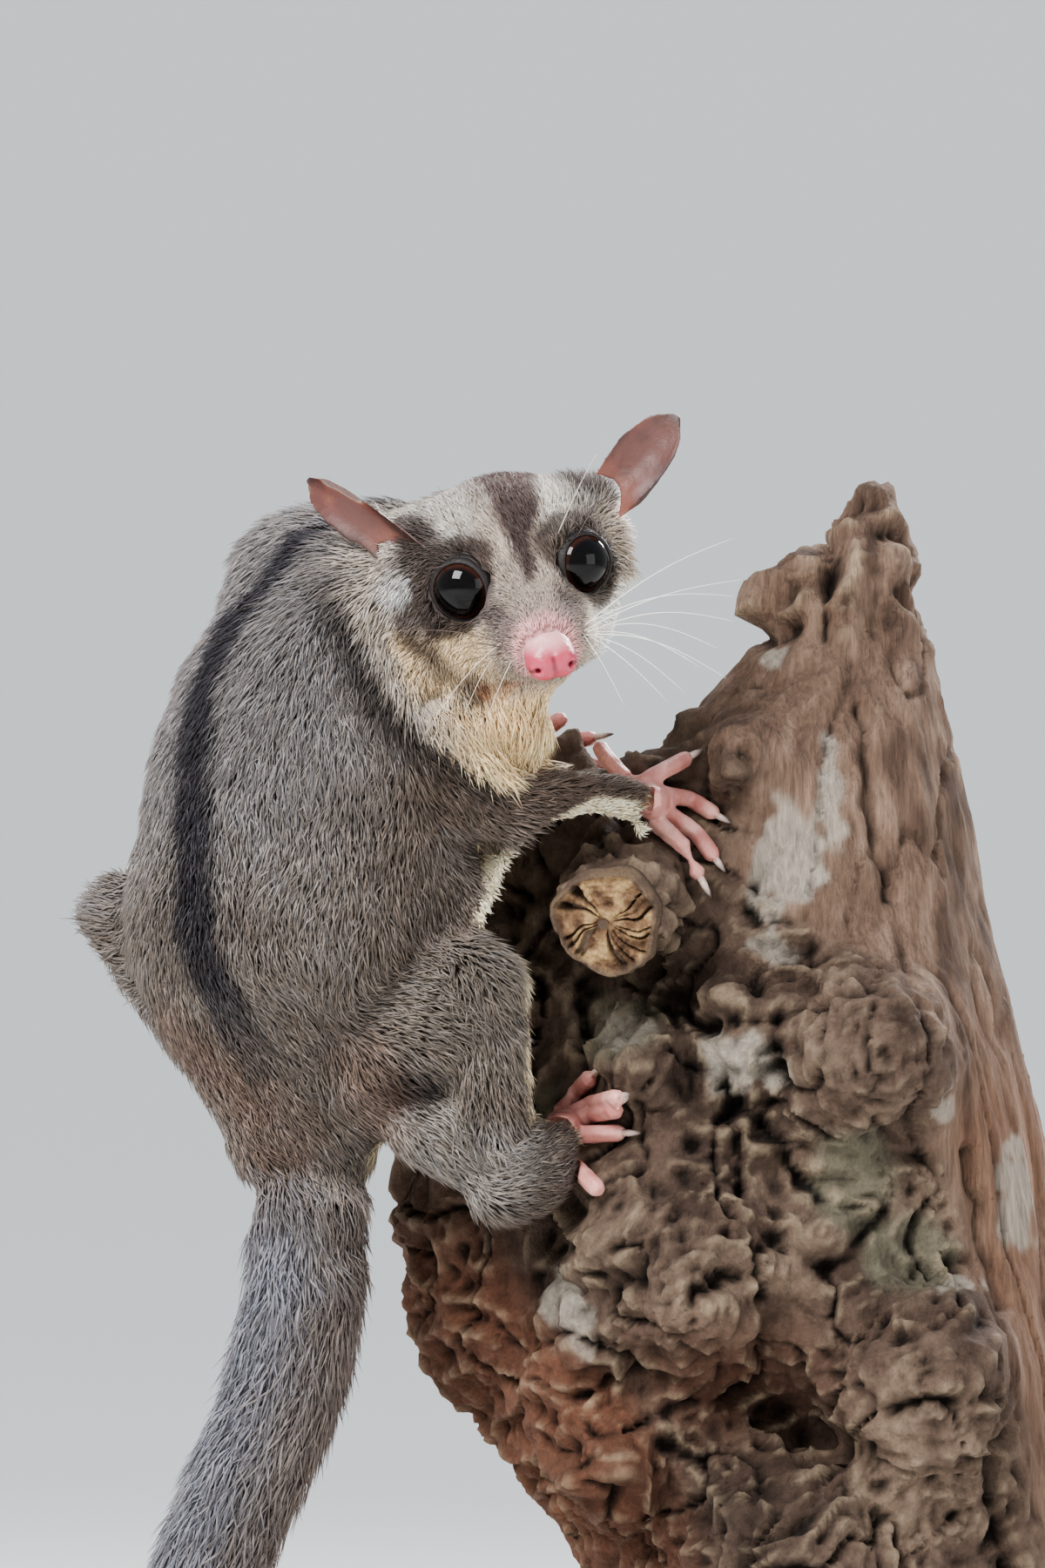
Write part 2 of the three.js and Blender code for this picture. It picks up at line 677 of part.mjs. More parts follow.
// Thin a solid's mesh, clear it of what it would touch, and place it under its name
function place(group, name, solid, material, tolerance = THINNING.limb) {
  const thin = thinned(solid, tolerance);
  const met = Object.keys(made).filter((other) => thin.intersect(made[other]).volume() > 0.002);
  made[name] = met.length ? thinned(clearedOf(thin, met), THINNING.after) : thin;
  const mesh = new THREE.Mesh(geometryOf(made[name]), material);
  mesh.name = name;
  group.add(mesh);
}

// Place the piece of a solid that lies behind a plane, and return what lies before it
function partAcross(solid, point, way, name, tolerance) {
  const normal = unit(way);
  const offset = dot(normal, point);
  place(animal, name, solid.trimByPlane(times(normal, -1), GAP / 2 - offset), finish.coat, tolerance);
  return largest(solid.trimByPlane(normal, offset + GAP / 2));
}

// Head: sockets with a rim of lid round each eyeball, and the line of the closed mouth
function eyeball(side, radius) {
  const centre = new THREE.Matrix4().makeTranslation(...onHead(side * EYE_SIDE, 0, 0));
  return solidOf(new THREE.SphereGeometry(radius, 16, 10), centre);
}
const MOUTH = [
  [8.4, -1, -9.4],
  [6.6, 3.5, -9.4],
  [4.6, 8, -10],
  [2.6, 11.4, -10.4],
  [0, 12.8, -10.2],
];

// Move a point of the head's own frame outwards to its surface
function onFace(right, forward, up) {
  const sideways = Math.abs(right) > 2 ? Math.sign(right) : 0;
  const way = unit(plus(times(HEAD_RIGHT, sideways), FORWARD));
  let p = onHead(right, forward, up);
  for (let i = 0; i < 120 && groups.head.field(p) < 0; i++) p = plus(p, way, 0.2);
  return p;
}

let head = flesh("head");
bothSides((side) => {
  const way = unit(plus(plus(FORWARD, HEAD_RIGHT, side * 0.5), HEAD_UP, 0.1));
  const rim = new THREE.TorusGeometry(LID.radius, LID.thickness, 5, 16);
  head = head.add(solidOf(rim, turned(plus(onHead(side * EYE_SIDE, 0, 0), way, LID.forward), way)));
  head = head.subtract(eyeball(side, EYE_RADIUS + GAP));
});
const mirrored = MOUTH.slice(0, -1).map(([right, forward, up]) => [-right, forward, up]);
const mouthLine = [...MOUTH, ...mirrored.reverse()].map((spot) => [...onFace(...spot), MOUTH_GROOVE]);
head = head.subtract(tube(mouthLine, 5));
place(animal, "head", head, finish.coat, groups.head.thinning);
for (const [name, side] of Object.entries(SIDES))
  place(animal, `eye_${name}`, eyeball(side, EYE_RADIUS), finish.eye, THINNING.after);

// Nose, with its two nostrils
let nose = flesh("nose");
bothSides((side) => {
  const inner = [...onHead(side * 1.8, 19.2, -7.6), NOSTRIL_RADIUS * 0.7];
  const outer = [...onHead(side * 3, 21.6, -7.8), NOSTRIL_RADIUS];
  nose = nose.subtract(tube([inner, outer]));
});
place(animal, "nose", nose, finish.skin, groups.nose.thinning);

// The other parts of the flesh. Torso and tail are parted again by plane cuts.
for (const name of names) {
  const { net, slot, thinning } = groups[name];
  if (made[name]) continue;
  let solid = flesh(name);
  if (name === "torso") {
    solid = partAcross(solid, WAIST.point, WAIST.way, "torso_rear", thinning);
    place(animal, "torso_front", solid, finish.coat, thinning);
  } else if (name === "tail") {
    TAIL_CUTS.toReversed().forEach((i, n) => {
      const way = minus(TAIL[i - 1], TAIL[i + 1]);
      solid = partAcross(solid, TAIL[i].slice(0, 3), way, `tail_${TAIL_CUTS.length + 1 - n}`);
    });
    place(animal, "tail_1", solid, finish.coat);
  } else place(animal, name, solid, finish[slot ?? "coat"], thinning);
}

// Ears: the right one is folded back, the left one is open to the front
const EARS = {
  right: {
    root: [-13.6, -12, 256.4],
    tip: [-30.2, -12.4, 268.8],
    open: [-0.4, -0.85, -0.6],
    width: 9.8,
    cup: 1.4,
    curl: 1.6,
  },
  left: {
    root: [10.4, -12, 262.4],
    tip: [22.3, -13, 276.9],
    open: [-0.3, -1, 0.1],
    width: 10,
    cup: 1,
    curl: 1.2,
  },
};
for (const [side, form] of Object.entries(EARS)) {
  const leaf = largest(clearedOf(ear(form), ["head", "neck", "torso_front"]));
  place(animal, `ear_${side}`, leaf, finish.skin, THINNING.after);
}

// Hands and feet. Digits are given by the places on the bark (x, z) of root, middle joint and tip,
// thumb or great toe first. The right ones hold the near side of the trunk, the left ones the far side.
const PAWS = {
  hand_right: {
    holder: ["forearm_right", "patagium_right"],
    place: onBark,
    radius: FINGER,
    palm: [
      [17.9, -8.8, 222.2, 2.5],
      [...onBark(19.2, 221.6, 1.2), 2.6],
      [...onBark(16.6, 224.2, 1), 1.8],
      [...onBark(19.4, 223.2, 1), 1.9],
      [...onBark(19.6, 220.6, 1), 1.8],
    ],
    digits: [
      [[14.6, 225.2], [12.6, 227.6], [11.2, 229.6]],
      [[17, 224.4], [20.2, 226.4], [23.4, 228.1]],
      [[19.6, 223], [24, 222.4], [27.3, 220.4]],
      [[20, 220.8], [24.8, 217.6], [27.2, 214.4]],
      [[18.8, 219.4], [23, 215.6], [25, 211.9]],
    ],
  },
  foot_right: {
    holder: ["heel_right", "shin_right"],
    place: onBark,
    radius: TOE,
    palm: [
      [4.8, -10.4, 173.8, 3.4],
      [...onBark(6, 175.6, 1.4), 2.6],
      [...onBark(6.8, 175.4, 1.2), 2.1],
    ],
    digits: [
      [[4.8, 171.6], [8, 169.4], [10.6, 167]],
      [[5.6, 177.2], [7.6, 180], [9.6, 182.2]],
      [[6.4, 176.6], [10, 178.6], [13.4, 179.8]],
      [[6.6, 176], [10.2, 177.2], [13.2, 178]],
      [[6.2, 174.2], [10, 174.4], [13.6, 174.6]],
    ],
  },
  hand_left: {
    holder: ["forearm_left", "patagium_left"],
    place: behindBark,
    radius: FINGER,
    palm: [
      [-1, 34.6, 229.4, 2.6],
      [...behindBark(1.4, 228, 1.6), 2.6],
      [...behindBark(2.6, 226.6, 1.2), 2.4],
    ],
    digits: [
      [[1, 230.4], [3.4, 232.6], [5.6, 234]],
      [[2.6, 229.6], [6.6, 230.6], [10, 231.2]],
      [[3.4, 227.6], [7.8, 227.4], [11.4, 227]],
      [[3, 225.6], [7, 223.6], [10.2, 222]],
      [[1.6, 224.2], [4, 221.2], [6, 218.8]],
    ],
  },
  foot_left: {
    holder: ["heel_left"],
    place: behindBark,
    radius: TOE,
    palm: [
      [-20, 31.8, 182.4, 3.3],
      [...behindBark(-12.6, 182.4, 2), 3],
      [...behindBark(-10.8, 182.6, 1.2), 2.4],
    ],
    digits: [
      [[-12, 179.6], [-11.6, 176.6], [-10.6, 173.8]],
      [[-11.4, 185], [-8.4, 187.8], [-5.8, 190]],
      [[-10.4, 184], [-6, 185.6], [-2.4, 186.6]],
      [[-10, 182.4], [-5.4, 182.6], [-1.6, 182.8]],
      [[-10.8, 180.6], [-6.8, 178.8], [-3.4, 177.4]],
    ],
  },
};
for (const [name, { holder, place: spot, radius, palm, digits }] of Object.entries(PAWS)) {
  const solid = clearedOf(paw(palm, digits, spot, radius), holder);
  place(animal, name, largest(solid), finish.skin, THINNING.fine);
}

// Perch: the trunk sawn flat below and cut clear of the animal that lies on it
const SAW = 300;
const wood = meshOf(trunkField, [-26, -26, TRUNK_FOOT - 16], [98, 68, 270], NET.wood);
const below = new THREE.Matrix4().makeTranslation(0, 0, TRUNK_FOOT - SAW / 2);
const sawn = thinned(wood, THINNING.wood).subtract(solidOf(new THREE.BoxGeometry(SAW, SAW, SAW), below));
const touching = Object.keys(made).filter((name) => !/^(tail|eye|ear)/.test(name));
place(animal, "perch_trunk", largest(clearedOf(sawn, touching)), finish.wood, THINNING.fine);

// Stand: a flat base and two rods up to the trunk's sawn end
function roundedPlate({ width, depth, height, corner }) {
  const shape = new THREE.Shape();
  const [x, y] = [width / 2 - corner, depth / 2 - corner];
  shape.absarc(x, -y, corner, -Math.PI / 2, 0);
  shape.absarc(x, y, corner, 0, Math.PI / 2);
  shape.absarc(-x, y, corner, Math.PI / 2, Math.PI);
  shape.absarc(-x, -y, corner, Math.PI, 1.5 * Math.PI);
  return new THREE.ExtrudeGeometry(shape, { depth: height, bevelEnabled: false, curveSegments: 6 });
}
place(parts, "stand_base", solidOf(roundedPlate(BASE)), finish.plinth, 0.01);

const rodHeight = TRUNK_FOOT - BASE.height - 2 * GAP;
for (const [name, [x, y]] of Object.entries(ROD_PLACES)) {
  const rod = new THREE.CylinderGeometry(ROD_RADIUS, ROD_RADIUS, rodHeight, 20);
  const upright = new THREE.Matrix4().makeRotationX(Math.PI / 2);
  upright.setPosition(x, y, BASE.height + GAP + rodHeight / 2);
  place(animal, name, solidOf(rod, upright), finish.steel, 0.01);
}

export default parts;
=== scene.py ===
import json
import math

import bmesh
import bpy
import numpy as np
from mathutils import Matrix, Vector
from mathutils.bvhtree import BVHTree

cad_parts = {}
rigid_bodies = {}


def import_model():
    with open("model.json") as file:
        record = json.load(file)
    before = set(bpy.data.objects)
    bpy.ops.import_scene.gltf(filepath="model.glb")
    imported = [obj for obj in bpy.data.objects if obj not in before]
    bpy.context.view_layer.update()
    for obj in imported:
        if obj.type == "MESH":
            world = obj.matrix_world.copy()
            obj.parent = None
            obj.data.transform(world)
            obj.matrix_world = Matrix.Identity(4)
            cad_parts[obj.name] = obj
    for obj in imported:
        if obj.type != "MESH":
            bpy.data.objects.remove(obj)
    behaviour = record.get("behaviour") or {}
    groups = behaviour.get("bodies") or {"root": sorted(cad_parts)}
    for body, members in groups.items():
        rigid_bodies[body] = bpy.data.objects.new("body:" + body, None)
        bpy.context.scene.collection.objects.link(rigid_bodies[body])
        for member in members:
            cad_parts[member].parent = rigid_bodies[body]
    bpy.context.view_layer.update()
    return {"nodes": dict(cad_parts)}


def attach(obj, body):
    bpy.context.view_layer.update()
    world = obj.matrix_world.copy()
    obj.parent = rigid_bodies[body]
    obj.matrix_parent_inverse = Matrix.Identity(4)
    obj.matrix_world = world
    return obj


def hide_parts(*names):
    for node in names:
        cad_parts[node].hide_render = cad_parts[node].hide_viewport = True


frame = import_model()
nodes = frame["nodes"]

# Skin: one closed body under the coat, made from copies of the CAD flesh. The copies are merged, remade
# as one even mesh, smoothed and drawn in by the depth of the coat that covers it. Places are written in
# the animal's own millimetres and moved onto the stand by one offset.
STAND_SHIFT = np.array([-12.0, -16.0, 0.0])
WELD = 1e-6


def metres(p):
    return (np.asarray(p, float) + STAND_SHIFT) / 1000


def millimetres(p):
    return np.asarray(p, float) * 1000 - STAND_SHIFT


def length(vectors):
    return np.linalg.norm(vectors, axis=-1)


def unit(vectors):
    return vectors / np.linalg.norm(vectors, axis=-1, keepdims=True)


def linear(colour):
    value = np.array([int(colour[i : i + 2], 16) / 255 for i in (1, 3, 5)])
    return np.where(value <= 0.04045, value / 12.92, ((value + 0.055) / 1.055) ** 2.4)


# Add a node with its settings and its links or values
def add(material, kind, links=None, **values):
    made = material.node_tree.nodes.new(kind)
    for name, value in values.items():
        setattr(made, name, value)
    for name, value in (links or {}).items():
        if isinstance(value, bpy.types.NodeSocket):
            material.node_tree.links.new(value, made.inputs[name])
        else:
            made.inputs[name].default_value = value
    return made


def new_material(name, **values):
    material = bpy.data.materials.new(name)
    material.use_nodes = True
    shader = material.node_tree.nodes["Principled BSDF"]
    for key, value in values.items():
        socket = shader.inputs[key.replace("_", " ")]
        socket.default_value = (*linear(value), 1) if isinstance(value, str) else value
    return material


# Link a node's output to a socket of the material's shader
def drive(material, socket, output):
    shader = material.node_tree.nodes["Principled BSDF"]
    material.node_tree.links.new(output, shader.inputs[socket])


# Fine relief in a material: noise of a size in millimetres, stretched by the given factors
def grain_noise(material, size, stretch=(1, 1, 1), detail=3.0, roughness=0.5):
    place = add(material, "ShaderNodeTexCoord").outputs["Object"]
    scale = [1000 / size * v for v in stretch]
    scaled = add(material, "ShaderNodeMapping", {"Vector": place, "Scale": scale})
    links = {"Vector": scaled.outputs["Vector"], "Scale": 1.0, "Detail": detail, "Roughness": roughness}
    return add(material, "ShaderNodeTexNoise", links).outputs["Fac"]


def bumped(material, height, depth):
    bump = add(material, "ShaderNodeBump", {"Height": height, "Distance": depth / 1000, "Strength": 1.0})
    drive(material, "Normal", bump.outputs["Normal"])


# Base colour: the painted markings, made lighter and darker by noise between two factors
def marked(material, height, low, high):
    paint_node = add(material, "ShaderNodeAttribute", attribute_name="markings")
    share = add(material, "ShaderNodeMapRange", {"Value": height, "To Min": low, "To Max": high})
    tone = {"Color": paint_node.outputs["Color"], "Value": share.outputs["Result"]}
    toned = add(material, "ShaderNodeHueSaturation", tone)
    drive(material, "Base Color", toned.outputs["Color"])


# Base colour: noise turned into shades between two colours
def shaded(material, height, low, high, places=(0, 1)):
    ramp = add(material, "ShaderNodeValToRGB", {"Fac": height})
    for element, colour, place in zip(ramp.color_ramp.elements, (low, high), places):
        element.position, element.color = place, (*linear(colour), 1)
    drive(material, "Base Color", ramp.outputs["Color"])


def placed(name, data, material):
    made = bpy.data.objects.new(name, data)
    bpy.context.scene.collection.objects.link(made)
    data.materials.append(material)
    data.polygons.foreach_set("use_smooth", np.ones(len(data.polygons), bool))
    return made


def mesh_object(name, points, faces, material):
    data = bpy.data.meshes.new(name)
    points, faces = np.asarray(points, np.float32), np.asarray(faces, np.int32)
    data.vertices.add(len(points))
    data.vertices.foreach_set("co", points.ravel())
    data.loops.add(faces.size)
    data.loops.foreach_set("vertex_index", faces.ravel())
    data.polygons.add(len(faces))
    data.polygons.foreach_set("loop_start", np.arange(len(faces), dtype=np.int32) * 3)
    data.update(calc_edges=True)
    data.validate()
    return placed(name, data, material)


def object_of(name, shape, material):
    data = bpy.data.meshes.new(name)
    shape.to_mesh(data)
    shape.free()
    return placed(name, data, material)


def values_of(items, name, width, kind=np.float32):
    out = np.empty(len(items) * width, kind)
    items.foreach_get(name, out)
    return out.reshape(-1, width)


def points_of(made):
    return values_of(made.data.vertices, "co", 3).astype(float)


def set_points(made, points):
    made.data.vertices.foreach_set("co", np.asarray(points, np.float32).ravel())
    made.data.update()


def normals_of(made):
    return values_of(made.data.vertex_normals, "vector", 3).astype(float)


def edges_of(made):
    return values_of(made.data.edges, "vertices", 2, np.int32)


def tree_of(made):
    corner_lists = [tuple(f.vertices) for f in made.data.polygons]
    return BVHTree.FromPolygons([Vector(p) for p in points_of(made)], corner_lists)


def smoothed(points, edges, rounds, keep=1.0):
    a, b = edges.T
    count = np.maximum(np.bincount(edges.ravel(), minlength=len(points)), 1)
    for _ in range(rounds):
        total = [np.bincount(a, row[b], len(row)) + np.bincount(b, row[a], len(row)) for row in points.T]
        points = points + ((np.array(total) / count - points.T) * 0.5 * keep).T
    return points


def apply_modifiers(made):
    depsgraph = bpy.context.evaluated_depsgraph_get()
    data = bpy.data.meshes.new_from_object(made.evaluated_get(depsgraph))
    made.modifiers.clear()
    old, made.data = made.data, data
    bpy.data.meshes.remove(old)
    data.polygons.foreach_set("use_smooth", np.ones(len(data.polygons), bool))


def welded(node_names):
    shape = bmesh.new()
    for name in node_names:
        shape.from_mesh(nodes[name].data)
    bmesh.ops.remove_doubles(shape, verts=shape.verts, dist=WELD)
    return shape


# Copies of CAD nodes, joined and remade as one even mesh
def remade(name, node_names, voxel, material):
    made = object_of(name, welded(node_names), material)
    remesh = made.modifiers.new("even", "REMESH")
    remesh.mode, remesh.voxel_size, remesh.adaptivity = "VOXEL", voxel, 0
    apply_modifiers(made)
    return made


# Smooth three-dimensional noise from a seeded lattice, between -1 and 1
LATTICE_SIDE = 32
lattice = np.random.default_rng(7).uniform(-1, 1, (LATTICE_SIDE,) * 3)


def noise(p, size, seed=0):
    q = np.asarray(p, float) / size + seed * 7.31
    low = np.floor(q).astype(int)
    t = q - low
    t = t * t * (3 - 2 * t)
    total = np.zeros(len(q))
    for corner in range(8):
        bits = np.array([corner & 1, corner >> 1 & 1, corner >> 2])
        weight = np.prod(np.where(bits, t, 1 - t), axis=1)
        total += weight * lattice[tuple(((low + bits) % LATTICE_SIDE).T)]
    return total


def eased(value, low, high):
    t = np.clip((value - low) / (high - low), 0, 1)
    return t * t * (3 - 2 * t)


def faded(value, low, high):
    return 1 - eased(value, low, high)


# The head's own frame: right, forward and up, from the point between the eyeballs.
HEAD_AT = np.array([-0.2, -20.5, 254.2])
FORWARD = unit(np.array([0.165, -0.937, -0.309]))
HEAD_UP = np.array([-0.21, 0, 0.95])
HEAD_UP = unit(HEAD_UP - FORWARD * HEAD_UP.dot(FORWARD))
HEAD_RIGHT = np.cross(FORWARD, HEAD_UP)
EYE_SIDE, EYE_RADIUS = 8.1, 4.7


def on_head(right, forward, up):
    return HEAD_AT + HEAD_RIGHT * right + FORWARD * forward + HEAD_UP * up


def head_frame(p):
    away = p - HEAD_AT
    return away @ HEAD_RIGHT, away @ FORWARD, away @ HEAD_UP


def eye_distance(p, forward=0.0):
    return np.minimum(*[length(p - on_head(side * EYE_SIDE, forward, 0)) for side in (1, -1)])


def segment_distance(p, a, b):
    a, b = np.asarray(a, float), np.asarray(b, float)
    along = b - a
    t = np.clip((p - a) @ along / along.dot(along), 0, 1)
    return length(p - a - t[:, None] * along)


def near_path(p, path):
    return np.min([segment_distance(p, a, b) for a, b in zip(path[:-1], path[1:])], axis=0)


# How much of a point lies in each region, from 0 to 1
def head_share(p):
    right, forward, _ = head_frame(p)
    return eased(forward, -20, -12) * eased(p[:, 2], 236, 241) * eased(20 - np.abs(right), 0, 3)


def tail_share(p):
    return faded(p[:, 2], 160, 172) * eased(-p[:, 0], 12, 18)


def neck_share(p):
    return eased(p[:, 2], 224, 232) * eased(-p[:, 1], 5, 13) * (1 - head_share(p))


def wrist_share(p):
    arm = segment_distance(p, (8, -13, 223), (18, -10, 222))
    heel = segment_distance(p, (0, -12, 168), (6, -11, 174))
    return faded(np.minimum(arm, heel), 4, 9)


def coat_depth(p):
    head, tail = head_share(p), tail_share(p)
    muzzle = eased(head_frame(p)[1], 2, 11)
    depth = 2.2 + 0.5 * neck_share(p)
    depth = depth * (1 - head) + (1.4 - 1.0 * muzzle) * head
    depth = depth * (1 - tail) + np.interp(p[:, 2], [14, 30, 60, 150], [0.8, 2.2, 3.8, 4.4]) * tail
    return depth * (1 - 0.5 * wrist_share(p)) * eased(eye_distance(p), 4.6, 7.5)


FLESH = """head neck torso_front torso_rear upper_arm_right forearm_right upper_arm_left forearm_left
thigh_right shin_right heel_right thigh_left shin_left heel_left patagium_right patagium_left
tail_1 tail_2 tail_3 tail_4""".split()
skin_material = new_material("skin_under_coat", Roughness=0.75)
skin = remade("skin", FLESH, 0.00095, skin_material)
skin_edges = edges_of(skin)
outer = points_of(skin)
near_eye = eye_distance(millimetres(outer))
outer = smoothed(outer, skin_edges, 14, eased(near_eye, 5.0, 7.5) * 0.7 + 0.3)
set_points(skin, outer)
depth = smoothed(coat_depth(millimetres(outer))[:, None], skin_edges, 6)
drawn = outer - normals_of(skin) * depth / 1000
set_points(skin, smoothed(drawn, skin_edges, 3, eased(near_eye, 5.2, 7)))
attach(skin, "root")
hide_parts(*FLESH)
skin_points = millimetres(points_of(skin))
skin_normals = normals_of(skin)
skin_tree = tree_of(skin)

# The unwrap of the skin's own shape: each tuft of the coat has its place on it
bpy.context.view_layer.objects.active = skin
skin.select_set(True)
bpy.ops.object.mode_set(mode="EDIT")
bpy.ops.mesh.select_all(action="SELECT")
bpy.ops.uv.smart_project(angle_limit=math.radians(60), island_margin=0.002)
bpy.ops.object.mode_set(mode="OBJECT")
skin.select_set(False)
skin.data.uv_layers[0].name = "OFBake"
skin_uv = values_of(skin.data.uv_layers["OFBake"].data, "uv", 2)

# Markings: one function of place gives the colour of the skin and of each tuft. A dark stripe runs from
# between the ears down the middle of the back, the ruff and throat are cream, the face is banded.
STRIPE_PLACES = [(-12, 268), (-20, 264.5), (-27, 260), (-33, 255), (-38.5, 249), (-43, 240)]
STRIPE_PLACES += [(-45.4, 227), (-46, 213), (-44.4, 199), (-39.4, 187)]


def on_skin(x, z):
    hit = skin_tree.ray_cast(Vector(metres((x, -200, z))), Vector((0, 1, 0)))[0]
    return np.array([x, 0, z]) if hit is None else millimetres(hit)


STRIPE = [on_skin(x, z) for x, z in STRIPE_PLACES]
RUFF_HEIGHTS = [224, 228.4, 233.4, 239.6, 244.6, 249.6, 259, 264]
RUFF_EDGE = [-3, -9, -15.2, -19, -21.5, -23.4, -24.6, -22]
GLIDING_EDGE = [
    [(18.2, -9.6, 216.8), (14.2, -11.4, 219.6), (8.6, -12.8, 221), (3.4, -13.6, 219.4)],
    [(3.4, -13.6, 219.4), (-0.8, -13, 216.4)],
    [(-2.2, -12.6, 215.6), (-3.2, -12, 211.6), (-5.2, -12.6, 206.4)],
]
CHEEK_BAND = [(13.2, -5.5, 6.2), (15.5, -2, 1), (15.4, 1, -5), (14.3, 3.8, -9.6), (11, 6.5, -11.8)]
JAW_RUST = [(10, 7, -12.6), (8.2, 8.2, -13.4), (5, 10, -12.9)]
MOUTH_LINE = [(12, 5.5, -11.4), (9.4, 7.6, -12.2), (6, 9.8, -12.0)]


def plain(colour, p):
    return np.tile(linear(colour), (len(p), 1))


# Colours laid over one another, each by its own amount at each point
def layered(base, *layers):
    for colour, amount in layers:
        base = base * (1 - amount[:, None]) + linear(colour) * amount[:, None]
    return base


def body_colours(p, mottle):
    x, z = p[:, 0], p[:, 2]
    flank = eased(x, -32, -12) * eased(232 - z, -4, 14)
    # upper back, paler and bluer: partly its grey fur, partly painted highlight on the side the light comes
    # from
    upper = eased(z, 200, 236) * faded(x, -34, -14)
    arm = faded(segment_distance(p, (-12, -14, 228), (14, -12, 223)), 5, 11)
    thigh = faded(segment_distance(p, (-14, -14, 190), (-4, -20, 194)), 7, 13)
    shin = faded(segment_distance(p, (-15, -16, 174), (-6, -18, 172)), 5, 9)
    # painted shade along the fold between the thigh and the lower leg
    crease_shade = faded(near_path(p, [(-19, -18, 182.5), (-12, -21, 180.5), (-7, -22, 176)]), 1.8, 4.6)
    rump = faded(near_path(p, [(-50, -8, 189), (-42, -14, 181), (-38, -12, 176)]), 2, 13)
    rust = np.maximum(rump, 0.8 * faded(segment_distance(p, (-24, -18, 186), (-22, -15, 176)), 1, 8))
    stripe = faded(near_path(p, STRIPE) + mottle * 0.8, 1.9, 4.4) * eased(z, 180, 200)
    return layered(
        plain("#776d66", p),
        ("#928c8a", eased(mottle, -0.1, 0.8) * 0.55),
        ("#574c46", eased(-mottle, 0.0, 0.8) * 0.5),
        ("#6a5d54", flank * 0.55),
        ("#8c888a", upper * 0.6),
        ("#5d4e45", arm * 0.85),
        ("#7d746c", thigh * 0.6),
        ("#958e88", shin * 0.7),
        ("#2e2a2c", crease_shade * 0.85),
        ("#70503f", rust * eased(mottle, -0.9, 0.5) * 0.55),
        ("#302d33", stripe * 0.92),
    )


def tail_colours(base, p, n):
    tail = tail_share(p)
    return layered(
        base,
        ("#7c7472", tail * 0.85),
        # painted highlight: faces turned to the upper left and the camera are painted paler and bluer
        ("#8d8f9c", tail * eased(n @ np.array([-0.8, -0.5, 0.1]), 0.2, 0.9) * 0.55),
        # painted shade: faces turned to the right are painted browner and darker
        ("#6a5950", tail * eased(n[:, 0], 0.3, 0.9) * 0.5),
        ("#5f5552", tail * faded(p[:, 2], 20, 60) * 0.5),
    )


def throat_colours(base, p, n, mottle):
    x, y, z = p.T
    belly = eased(n @ np.array([0.62, 0.76, -0.15]), 0.1, 0.6) * (1 - tail_share(p)) * eased(z, 168, 178)
    inside = x - np.interp(z, RUFF_HEIGHTS, RUFF_EDGE) + mottle * 1.2
    front = eased(-y, 2, 8) * eased(z, 222, 225) * faded(z, 262, 266)
    # just outside the ruff's edge: darker fur together with the ruff's painted shadow on the shoulder
    shade = eased(inside, -7, -1) * faded(inside, -1, 1.5) * front
    arm = faded(segment_distance(p, (-6, -16, 220.6), (16.4, -9.6, 222.6)), 4.6, 6.8)
    ruff = eased(inside, -1, 2.2) * front * (1 - arm)
    cream = ruff * eased(x + 0.25 * (240 - z), -15, -4)
    warm = cream * faded(length(p - [-1, -24, 233]), 3, 9)
    return layered(
        base,
        ("#d9c8a8", belly * 0.9 * faded(z, 248, 256)),
        *[("#efe0c4", faded(near_path(p, path), 1.9, 3.0)) for path in GLIDING_EDGE],
        ("#2b2524", shade * 0.85 * faded(z, 246, 258)),
        ("#b3a89d", ruff * 0.9),
        ("#e8cca4", cream * 0.95),
        ("#e2b98a", warm * 0.45),
    )


